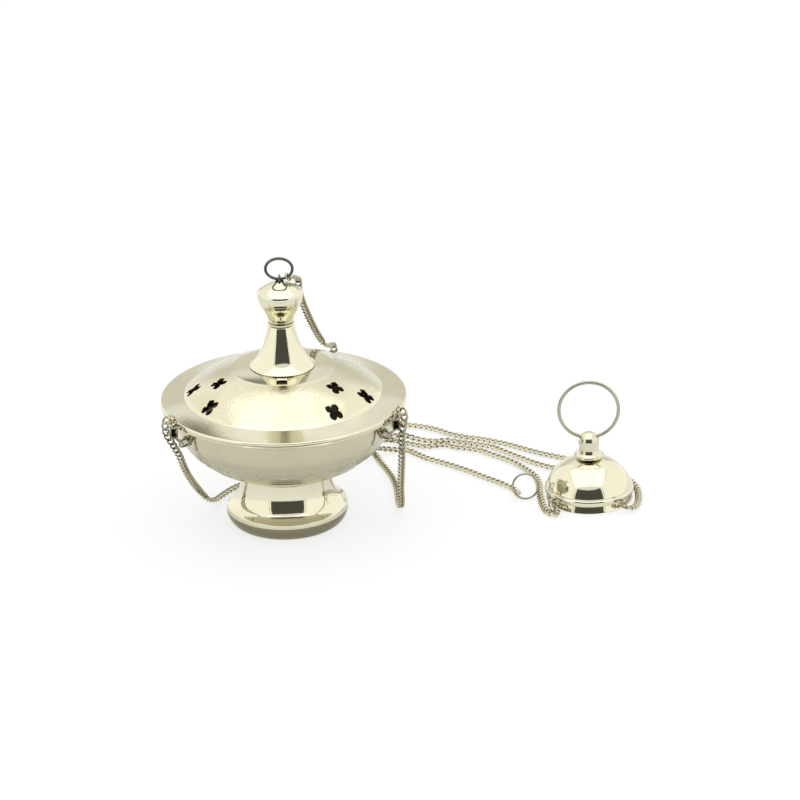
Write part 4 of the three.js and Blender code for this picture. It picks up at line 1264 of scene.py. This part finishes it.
ROUTES: dict[str, list[tuple[float, ...]]] = {
    "left_fall": [
        (-61.2, -38.2, 67.4), (-59.6, -37.7, 63.8), (-57.5, -36.2, 59), (-55.1, -33, 52.2),
        (-53.9, -29, 45.8), (-52.6, -23, 38.5), (-50.6, -15, 30.2), (-48.1, -5, 20.9), (-45.5, 4, 12.9),
        (-42.6, 13, 5.8),
        (-39.7, 20, 2.4), (-36.2, 27.5), (-30.1, 36.7), (-21, 45.5), (-8, 54), (5, 62.5)],
    "right_fall": [
        (63.5, -34, 67.5), (62.6, -33, 62), (62.4, -30, 54.1), (62, -25, 43.3), (61.5, -18, 31.4),
        (61.1, -10, 19), (61.2, -4, 10.4), (61, 2, 4.4), (60.7, 7.5, 2), (60, 15), (59.4, 28.7),
        (57.1, 44.9), (53.3, 58.6), (50.1, 68.3), (47.2, 78.5), (42, 86), (34.5, 90.5)],
    "back_fall": [
        (-2.6, 73.6, 66), (-2.6, 75.5, 50), (-2.4, 77.5, 30), (-1.8, 80, 12), (-0.9, 83.5, 4.2),
        (1.2, 88, 1.8), (5, 93), (13.5, 102), (25, 111)],
    "left_run": [
        (15.5, 71), (26, 78), (33, 81.5, 2.4), (42, 86, 5.6), (48, 88.8, 4.2), (53.5, 91.2, 4.2),
        (61.5, 94.8, 5.6), (69, 96.4, 2.8), (75.5, 95.4), (82, 94), (88, 94.8), (96, 91.5), (106.3, 87.6),
        (112.3, 84.4), (118.6, 77.9), (127.1, 69.1), (134.6, 61.6), (141, 56.4), (149, 52), (157, 49.6),
        (163, 49.3, 2), (166.9, 48.9, 3.1)],
    "right_run": [
        (30, 96), (30.5, 102.5), (37, 105.8), (45, 103.5), (53, 98.8), (61.5, 94.4), (69, 90), (76.6, 87),
        (86.5, 88.6), (91.5, 85.4), (100, 82.6), (106.1, 79.6), (111.5, 74.2), (118.6, 67.8), (125.1, 60.7),
        (130.7, 52), (135, 43.6), (136.9, 33), (136.9, 21), (137.5, 8), (139, -1.6), (141.2, -7.2),
        (144.6, -8.2, 1.8), (144.6, -5.9, 2.6), (142.6, -4.3, 3.4)],
    "back_run": [
        (40, 118), (57, 119.5), (75.1, 114.5), (82.7, 109.5), (89.6, 103.6), (98.4, 98.6), (106.6, 95.6),
        (113.3, 92.1), (121.3, 87.2), (131.7, 79.2), (140, 73.4), (148, 68.6), (162, 61), (176, 50),
        (184.8, 38), (189.6, 25.5), (190.2, 13), (188.9, 3.5), (186.4, -2.6, 2.2), (184, -5.6, 3.1)],
    "lift_top": [
        (6.5, 1.6, 138), (8.4, 5.6, 136.8), (9.5, 9.8, 133.4), (9.8, 13.1, 126.5), (11.2, 17, 118.2),
        (13.2, 23, 109.5), (15.7, 32, 99), (18.5, 42.5, 88.2), (21, 51, 80.5), (23.3, 57.6, 76),
        (24.8, 61.6, 74.3)],
    "lift_fall": [
        (25.8, 65.2, 73.2), (26.5, 67.6, 69.5), (26.9, 68.7, 63), (27.3, 69.6, 40), (27.6, 70.2, 20),
        (28.2, 70.8, 7.5), (31, 71.5, 3), (37.5, 72.8, 3.4), (46, 76.9, 5.3), (53.5, 81.4, 3), (58.8, 83.5),
        (65.5, 82.4), (71, 76.6), (76.4, 70.6), (81.6, 66.4), (90.3, 59.6)],
    "lift_end": [
        (99, 51.8), (107.2, 43.2), (114.2, 36.6), (119.8, 30.2), (123.5, 24.6, 1.9), (124.7, 16.9, 3.3)],
}
FALL_BENDS: dict[str, tuple[Place, Place]] = {
    "left": ((-44, 8, 0), (2, 60, 0)), "right": ((60.8, 3, 0), (40, 88, 0)),
    "back": ((-1, 82, 0), (24, 110, 0))}
RUN_BENDS: dict[str, tuple[Place, Place]] = {
    "left": ((106, 88, 0), (165, 50, 0)), "right": ((118, 68, 0), (140, -4, 0)),
    "back": ((162, 61, 0), (186, 0, 0))}
LIFT_BENDS: dict[str, tuple[Place, Place]] = {
    "top": ((6.5, 1.6, 138), (11.2, 17, 118.2)), "fall": ((28, 70, 0), (90, 60, 0)),
    "end": ((119.8, 30.2, 1.6), (124.7, 16.9, 3.3))}
LYING_UP = Vector((0, 0, 1))
HANGING_UP = Vector((0, -1, 0.15))
HALVINGS = 24


@dataclass
class Chains:
    """Curb chains, made of twisted oval links that lie in one another."""

    pitch: float = 3.4
    length: float = 5.8
    width: float = 4.3
    wire: float = 0.58
    twist: float = 0.62
    step: float = 0.6
    rest: float = 1.6
    hanging_slope: float = 0.8
    rise_radius: float = 67.5
    fall_radius: float = 72.5
    arch_rise: float = 5.2
    strand_foot: float = 63.5
    lift: float = 60.0

    def link(self) -> bpy.types.Mesh:
        """Make one link along X, its width along Y."""
        long, wide = (self.length - 2 * self.wire) / 2, (self.width - 2 * self.wire) / 2
        steps = 12
        turns = [2 * math.pi * (i + 0.5) / steps for i in range(steps)]
        line = [(long * math.cos(t), wide * math.sin(t), self.twist * math.sin(2 * t)) for t in turns]
        mesh = wire_along(line, self.wire, 4, closed=True)
        data = bpy.data.meshes.new("link")
        mesh.to_mesh(data)
        mesh.free()
        return data

    def route(self, name: str) -> list[Place]:
        """Give a stretch's points, those on the table at the chain's rest height."""
        return [tuple(p) if len(p) == 3 else (*p, self.rest) for p in ROUTES[name]]

    def laid(self, points: Sequence[Vector], start: float = 0.0, stop: float = 0.0) -> bmesh.types.BMesh:
        """Lay links along a smooth line.

        Args:
            points: The line, evenly spaced.
            start: Where the first link's middle lies, from the line's start.
            stop: Where the last link's middle lies, from the line's end.

        Returns:
            All the links in one mesh.
        """
        link = self.link()
        mesh = bmesh.new()
        spacing = (points[1] - points[0]).length
        total = spacing * (len(points) - 1)
        count = max(round((total - start - stop) / self.pitch), 1)
        for i in range(count + 1):
            at = (start + (total - start - stop) * i / count) / spacing
            low = min(int(at), len(points) - 2)
            middle = points[low].lerp(points[low + 1], at - low)
            ahead = points[min(low + 3, len(points) - 1)] - points[max(low - 2, 0)]
            along = ahead.normalized()
            steep = min(abs(along.z) / self.hanging_slope, 1.0) ** 2
            up = LYING_UP.lerp(HANGING_UP, steep).normalized()
            side = up.cross(along).normalized()
            up = along.cross(side)
            pose = Matrix((along, side, up)).transposed().to_4x4()
            pose.translation = middle
            before = len(mesh.verts)
            mesh.from_mesh(link)
            mesh.verts.ensure_lookup_table()
            bmesh.ops.transform(mesh, matrix=pose, verts=mesh.verts[before:])
        bpy.data.meshes.remove(link)
        return mesh

    def arch(self, side: Side, lid: Lid) -> list[Place]:
        """Give the points of the short arch over a lid guide, from above the bowl's ring."""
        top = lid.low + self.arch_rise
        profile = [
            (self.rise_radius, lid.low - 1.0), (self.rise_radius + 0.1, top - 1.2),
            ((self.rise_radius + self.fall_radius) / 2, top + 0.6), (self.fall_radius - 0.1, top - 1.4),
            (self.fall_radius, lid.low + 0.8)]
        return [tuple(ray(radius, side.bowl_azimuth, height)) for radius, height in profile]

    def spare(self, side: Side, low: float, high: float) -> bmesh.types.BMesh:
        """Make the strand between the bowl's ring and the lid's guide.

        It is made at its full length with the lid up, and then gathered between its ends.

        Args:
            side: Which chain.
            low: Height of its lower end.
            high: Height of its upper end with the lid down.

        Returns:
            The gathered links.
        """
        full = high - low + self.lift
        line = evenly([ray(self.rise_radius, side.bowl_azimuth, z) for z in (low, low + full)], self.step)
        mesh = self.laid(line, self.length / 2 - self.step, self.length / 2 - self.step)
        for vert in mesh.verts:
            want = (vert.co.z - low) / full
            a, b = 0.0, 1.0
            for _ in range(HALVINGS):
                t = (a + b) / 2
                lifted = ((high - low) * t + self.lift * t * t * (3 - 2 * t)) / full
                a, b = (t, b) if lifted < want else (a, t)
            vert.co.z = low + (high - low) * a
        return mesh

    def build(self, palette: Palette, lid: Lid) -> None:
        """Make the side chains and the lift chain, each in separate stretches."""
        for side in Side:
            word = side.word
            ends = [ray(self.rise_radius, side.bowl_azimuth, z) for z in (self.strand_foot, lid.low + 0.2)]
            strand = self.spare(side, ends[0].z, ends[1].z)
            gather = piece(f"chain_{word}_gather", strand, BOWL_AXIS, palette.chain, None)
            self.bend(gather, "base", "lid", *ends)
            first = [*self.arch(side, lid), *self.route(f"{word}_fall")]
            hanging, lying = stretches([*first, *self.route(f"{word}_run")], [len(first) - 1])
            fall = self.stretch(f"chain_{word}_hanging", hanging, (0.0, self.pitch / 2), palette,
                                f"chain_{word}_arch", f"chain_{word}_fall")
            self.bend(fall, "lid", "base", *FALL_BENDS[word])
            run = self.stretch(f"chain_{word}_lying", lying, (self.pitch / 2, 0.0), palette,
                               f"chain_{word}_run")
            self.bend(run, "base", "hand_cap", *RUN_BENDS[word])

        first, second = self.route("lift_top"), self.route("lift_fall")
        cuts = [len(first) - 1, len(first) + len(second) - 1]
        upper, middle, lower = stretches([*first, *second, *self.route("lift_end")], cuts)
        top = self.stretch("lift_chain_upper", upper, (0.0, self.pitch / 2), palette, "lift_chain_top")
        self.bend(top, "top_ring", "lid", *LIFT_BENDS["top"])
        fall = self.stretch("lift_chain_middle", middle, (self.pitch / 2, self.pitch / 2), palette,
                            "lift_chain_fall")
        self.bend(fall, "lid", "base", *LIFT_BENDS["fall"])
        end = self.stretch("lift_chain_lower", lower, (self.pitch / 2, 0.0), palette, "lift_chain_end")
        self.bend(end, "base", "pull_ring", *LIFT_BENDS["end"])

    def stretch(self, name: str, line: Sequence[Vector], ends: tuple[float, float], palette: Palette,
                *nodes: str) -> bpy.types.Object:
        """Args:
            name: The piece's name.
            line: Its smooth line in millimetres.
            ends: Where its first and last links' middles lie, from the line's ends.
            palette: The finishes.
            nodes: The CAD nodes that it stands for.

        Returns:
            The new piece.
        """
        chain = piece(name, self.laid(line, *ends), BOWL_AXIS, palette.chain, None, *nodes)
        path = [tuple(BOWL_AXIS + point * MM) for point in line]
        long = sum((b - a).length for a, b in zip(line, line[1:])) * MM
        self.width * MM
        return chain

    @staticmethod
    def bend(chain: bpy.types.Object, first: str, last: str, start: Sequence[float],
             end: Sequence[float]) -> None:
        """Bake a stretch's placement into its mesh."""
        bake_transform(chain)


# The hand cap and the pull ring


@dataclass
class HandCap:
    """Domed cap with a bead and an upright lip, its turned neck and the large hand ring."""

    lip_radius: float = 23.5
    lip_width: float = 1.8
    bead_radius: float = 24.2
    bead_low: float = 4.2
    bead_high: float = 7.4
    dome_radius: float = 24.0
    dome_centre: float = 2.7
    dome_height: float = 21.4
    crest: float = 5.5
    flange: float = 8.1
    neck: float = 5.7
    waist: float = 5.3
    neck_height: float = 14.0
    hole: float = 1.6
    hole_depth: float = 2.9
    screw_depth: float = 6.5
    head_radius: float = 4.0
    wall: float = 1.0
    ring_radius: float = 16.05
    ring_wire: float = 0.95
    lug_height: float = 5.8
    lug_reach: float = 3.8
    lug_half_width: float = 2.0
    lug_wire: float = 0.6
    link_radius: float = 2.2
    link_wire: float = 0.5
    link_lean: float = 38.0
    link_hang: float = 0.8
    link_out: float = 3.5

    def build(self, palette: Palette) -> None:
        """Make every piece of the hand cap."""
        self.make_dome(palette)
        self.make_neck(palette)
        low, high = heights("cap_screw")
        screw = Profile(0.0, low).curve((self.head_radius, low), self.head_radius, low + 1.4, 6)
        screw.line(self.head_radius, low + 2).line(ROD, low + 2)
        screw.line(ROD, high - EASE).line(ROD - EASE, high).line(0.0, high)
        piece("cap_fixing", spun(screw.points, 40), CAP_AXIS, palette.inside, "hand_cap", "cap_screw")
        ring = placed(ring_of(self.ring_radius, self.ring_wire, 128, 18), turn(90, "X"),
                      move(z=sum(heights("hand_ring")) / 2))
        piece("finger_ring", ring, CAP_AXIS, palette.ring, "hand_ring", "hand_ring")
        self.make_lugs(palette)

    def make_dome(self, palette: Palette) -> None:
        """Make the hollow dome with its bead and lip."""
        top = self.dome_centre + self.dome_height
        start = math.degrees(math.asin((self.bead_high + 0.3 - self.dome_centre) / self.dome_height))
        middle = (self.bead_low + self.bead_high) / 2
        skin = Profile(self.lip_radius - self.lip_width, 0.0).line(self.lip_radius - EASE, 0.0)
        skin.line(self.lip_radius, EASE).line(self.lip_radius - 1.0, self.bead_low - 0.5)
        skin.curve((self.bead_radius, self.bead_low - 0.2), self.bead_radius, middle, 8)
        skin.curve((self.bead_radius, self.bead_high), self.bead_radius - 0.9, self.bead_high + 0.1, 8)
        skin.ellipse(self.dome_radius, self.dome_height, self.dome_centre, start, 70, 24)
        skin.line(self.crest, top).line(BORE, top)
        mesh = spun(sheet_of(skin.points, self.wall), 144)
        piece("cap_shell", mesh, CAP_AXIS, palette.shell, "hand_cap", "cap_dome", crease=32)

    def make_neck(self, palette: Palette) -> None:
        """Make the turned neck and bore the ring's cross hole through it."""
        low = heights("cap_neck")[0]
        high = low + self.neck_height
        neck = Profile(0.0, low + self.screw_depth).line(BORE, low + self.screw_depth)
        neck.line(BORE, low).line(self.flange - 0.2, low)
        neck.curve((self.flange + 0.1, low + 0.6), self.flange - 0.2, low + 1.2, 5)
        neck.curve((self.neck, low + 1.8), self.waist, low + 0.35 * self.neck_height, 10)
        neck.ellipse(self.neck, self.neck, high - self.neck, 0, 90, 12)
        mesh = spun(neck.points, 96)
        made = piece("cap_knob", mesh, CAP_AXIS, palette.shell, "hand_cap", "cap_neck", crease=30)
        drill = bmesh.new()
        bmesh.ops.create_cone(drill, cap_ends=True, segments=32, radius1=self.hole, radius2=self.hole,
                              depth=40)
        cut(made, placed(drill, turn(90, "Y"), move(z=high - self.hole_depth)), CAP_AXIS)

    def make_lugs(self, palette: Palette) -> None:
        """Make the three lugs and their rings."""
        for side in Side:
            out = turn(side.cap_azimuth, "Z")
            loop = staple(self.bead_radius - 0.3, self.lug_reach, self.lug_half_width, self.lug_wire)
            staple_at = placed(loop, move(z=self.lug_height), out)
            piece(f"cap_staple_{side.word}", staple_at, CAP_AXIS, palette.ring, "hand_cap",
                  f"cap_lug_{side.word}")
            hung = (turn(90, "X"), move(self.link_hang), turn(self.link_lean, "Y"))
            there = move(self.bead_radius + self.link_out, 0, self.lug_height)
            ring = placed(ring_of(self.link_radius, self.link_wire, 40, 10), *hung, there, out)
            piece(f"cap_jump_ring_{side.word}", ring, CAP_AXIS, palette.chain, "hand_cap",
                  f"cap_link_{side.word}")


@dataclass
class PullRing:
    """Small ring at the end of the lift chain."""

    x: float = 128.9
    y: float = 15.2
    radius: float = 6.9
    wire: float = 0.6
    lean: float = 10.0
    lifted: float = 0.15

    def build(self, palette: Palette) -> None:
        """Make the ring."""
        ring = placed(ring_of(self.radius, self.wire, 72, 14), turn(90, "X"), move(z=self.radius),
                      turn(-self.lean, "X"), move(self.x, self.y, self.wire + self.lifted))
        piece("lift_pull_ring", ring, BOWL_AXIS, palette.ring, "pull_ring", "pull_ring")


# The studio


WARM_WHITE = (1.0, 0.99, 0.95)
WALL_CARDS = (
    (Card("right_box", WARM_WHITE, 1.28), (-52.0, 62.0), (-1.0, 55.0)),
    (Card("left_box", WARM_WHITE, 1.28), (118.0, 232.0), (-1.0, 55.0)),
    (Card("back_wall", (0.86, 0.85, 0.78), 0.95), (62.0, 118.0), (12.0, 27.0)),
    (Card("back_gap", (0.30, 0.29, 0.24), 1.0), (95.0, 106.0), (32.0, 39.0)),
    (Card("camera_side", (0.09, 0.088, 0.08), 1.0), (-137.0, -43.0), (-12.0, 40.0)),
)


@dataclass
class Studio:
    """Camera, pale floor, soft lamp and the cards that the metal mirrors, in metres."""

    camera_height: float = 0.9587
    camera_back: float = 2.0902
    camera_side: float = 0.0620
    elevation: float = 23.1
    roll: float = 1.4
    focal_pixels: float = 4260.0
    picture: int = 800
    sensor: float = 36.0
    view_end: float = 30.0
    floor_size: float = 6.0
    floor_drop: float = 0.0002
    floor_grey: float = 0.93
    floor_glow: float = 0.75
    mirrored_glow: float = 0.6
    lamp_place: Place = (0.0, -0.2, 1.6)
    lamp_size: tuple[float, float] = (2.2, 2.0)
    lamp_power: float = 9.0
    card_distance: float = 1.5
    roof_low: Place = (-1.8, -0.95, 1.9)
    roof_high: Place = (1.8, 2.5, 1.9)
    roof_strength: float = 1.16

    def camera(self) -> None:
        """Put the camera where the photograph was taken from."""
        data = bpy.data.cameras.new("camera")
        data.sensor_width = self.sensor
        data.lens = self.sensor * self.focal_pixels / self.picture
        data.clip_end = self.view_end
        seen = bpy.data.objects.new("camera", data)
        seen.location = BOWL_AXIS + Vector((self.camera_side, -self.camera_back, self.camera_height))
        seen.rotation_euler = (turn(90 - self.elevation, "X") @ turn(-self.roll, "Z")).to_euler()
        bpy.context.scene.collection.objects.link(seen)
        bpy.context.scene.camera = seen

    def floor(self) -> None:
        """Lay the pale table."""
        mesh = bmesh.new()
        bmesh.ops.create_grid(mesh, x_segments=1, y_segments=1, size=self.floor_size)
        data = bpy.data.meshes.new("table")
        mesh.to_mesh(data)
        mesh.free()
        sheet = NodeSheet("table_paper")
        matt = sheet.add("ShaderNodeBsdfPrincipled", {}, {
            "Base Color": (*[self.floor_grey] * 3, 1.0), "Roughness": 0.85, "Specular IOR Level": 0.1})
        path = {name: sheet.add("ShaderNodeLightPath", result=f"Is {name} Ray")
                for name in ("Camera", "Glossy", "Transmission")}
        mirrored = (path["Glossy"] + path["Transmission"]).clamp() * self.mirrored_glow
        seen = (path["Camera"] + mirrored).clamp()
        glow = sheet.add("ShaderNodeEmission", {}, {"Color": (1.0, 1.0, 1.0, 1.0), "Strength": 1.0})
        paper = sheet.add("ShaderNodeMixShader", {}, {0: seen * self.floor_glow, 1: matt, 2: glow})
        data.materials.append(sheet.finish(paper))
        table = bpy.data.objects.new("table", data)
        table.location.z = -self.floor_drop
        bpy.context.scene.collection.objects.link(table)

    def world(self) -> None:
        """Light everything evenly from a white surround."""
        surround = bpy.data.worlds.new("surround")
        bpy.context.scene.world = surround
        surround.use_nodes = True
        background = surround.node_tree.nodes["Background"]
        background.inputs["Color"].default_value = (1.0, 1.0, 1.0, 1.0)
        background.inputs["Strength"].default_value = 1.0

    def lamp(self) -> None:
        """Hang the one soft lamp over the object, facing it."""
        data = bpy.data.lights.new("overhead", "AREA")
        data.shape = "RECTANGLE"
        data.size, data.size_y = self.lamp_size
        data.energy = self.lamp_power
        lamp = bpy.data.objects.new("overhead", data)
        lamp.location = self.lamp_place
        lamp.rotation_euler = (-Vector(self.lamp_place)).to_track_quat("-Z", "Y").to_euler()
        bpy.context.scene.collection.objects.link(lamp)

    def wall_card(self, finish: Card, azimuth: tuple[float, float], elevation: tuple[float, float]) -> None:
        """Stand a curved card round the object, seen only in reflections.

        Args:
            finish: Its colour and glow.
            azimuth: First and last azimuth in degrees, counted from +X.
            elevation: Its lowest and highest edge in degrees, seen from the object.
        """
        mesh = bmesh.new()
        low, high = (mesh.verts.new((self.card_distance, 0, self.card_distance * math.tan(math.radians(e))))
                     for e in elevation)
        edge = mesh.edges.new((low, high))
        bmesh.ops.rotate(mesh, verts=mesh.verts, cent=(0, 0, 0), matrix=turn(azimuth[0], "Z"))
        bmesh.ops.spin(mesh, geom=[low, high, edge], cent=(0, 0, 0), axis=(0, 0, 1),
                       angle=math.radians(azimuth[1] - azimuth[0]), steps=24, use_duplicate=False)
        self.hang(finish, mesh)

    def roof_card(self) -> None:
        """Hang a level card over the object, seen only in reflections."""
        low, high = Vector(self.roof_low), Vector(self.roof_high)
        mesh = bmesh.new()
        bmesh.ops.create_grid(mesh, x_segments=1, y_segments=1, size=0.5)
        placed(mesh, Matrix.Diagonal((high.x - low.x, high.y - low.y, 1.0, 1.0)), move(*(low + high) / 2))
        self.hang(Card("roof_card", WARM_WHITE, self.roof_strength), mesh)

    @staticmethod
    def hang(finish: Card, mesh: bmesh.types.BMesh) -> None:
        """Turn a mesh into a card that only reflections see."""
        data = bpy.data.meshes.new(finish.name)
        mesh.to_mesh(data)
        mesh.free()
        data.materials.append(finish.material())
        card = bpy.data.objects.new(finish.name, data)
        card.visible_camera = False
        card.visible_diffuse = False
        card.visible_shadow = False
        card.visible_transmission = False
        bpy.context.scene.collection.objects.link(card)

    def build(self) -> None:
        """Set up the floor, the light and the cards."""
        bpy.context.scene.view_settings.view_transform = "Standard"
        self.floor()
        self.world()
        self.lamp()
        self.roof_card()
        for finish, azimuth, elevation in WALL_CARDS:
            self.wall_card(finish, azimuth, elevation)


def main() -> None:
    """Build the censer in its studio."""
    logging.basicConfig(level=logging.INFO, format="%(name)s: %(message)s")
    studio = Studio()
    studio.camera()
    palette = Palette()
    bowl, lid = Bowl(), Lid()
    Chains().build(palette, lid)
    Foot().build(palette, bowl)
    bowl.build(palette)
    lid.build(palette)
    Spire().build(palette)
    Ears().build(palette, bowl, lid)
    HandCap().build(palette)
    PullRing().build(palette)
    studio.build()


if __name__ == "__main__":
    main()
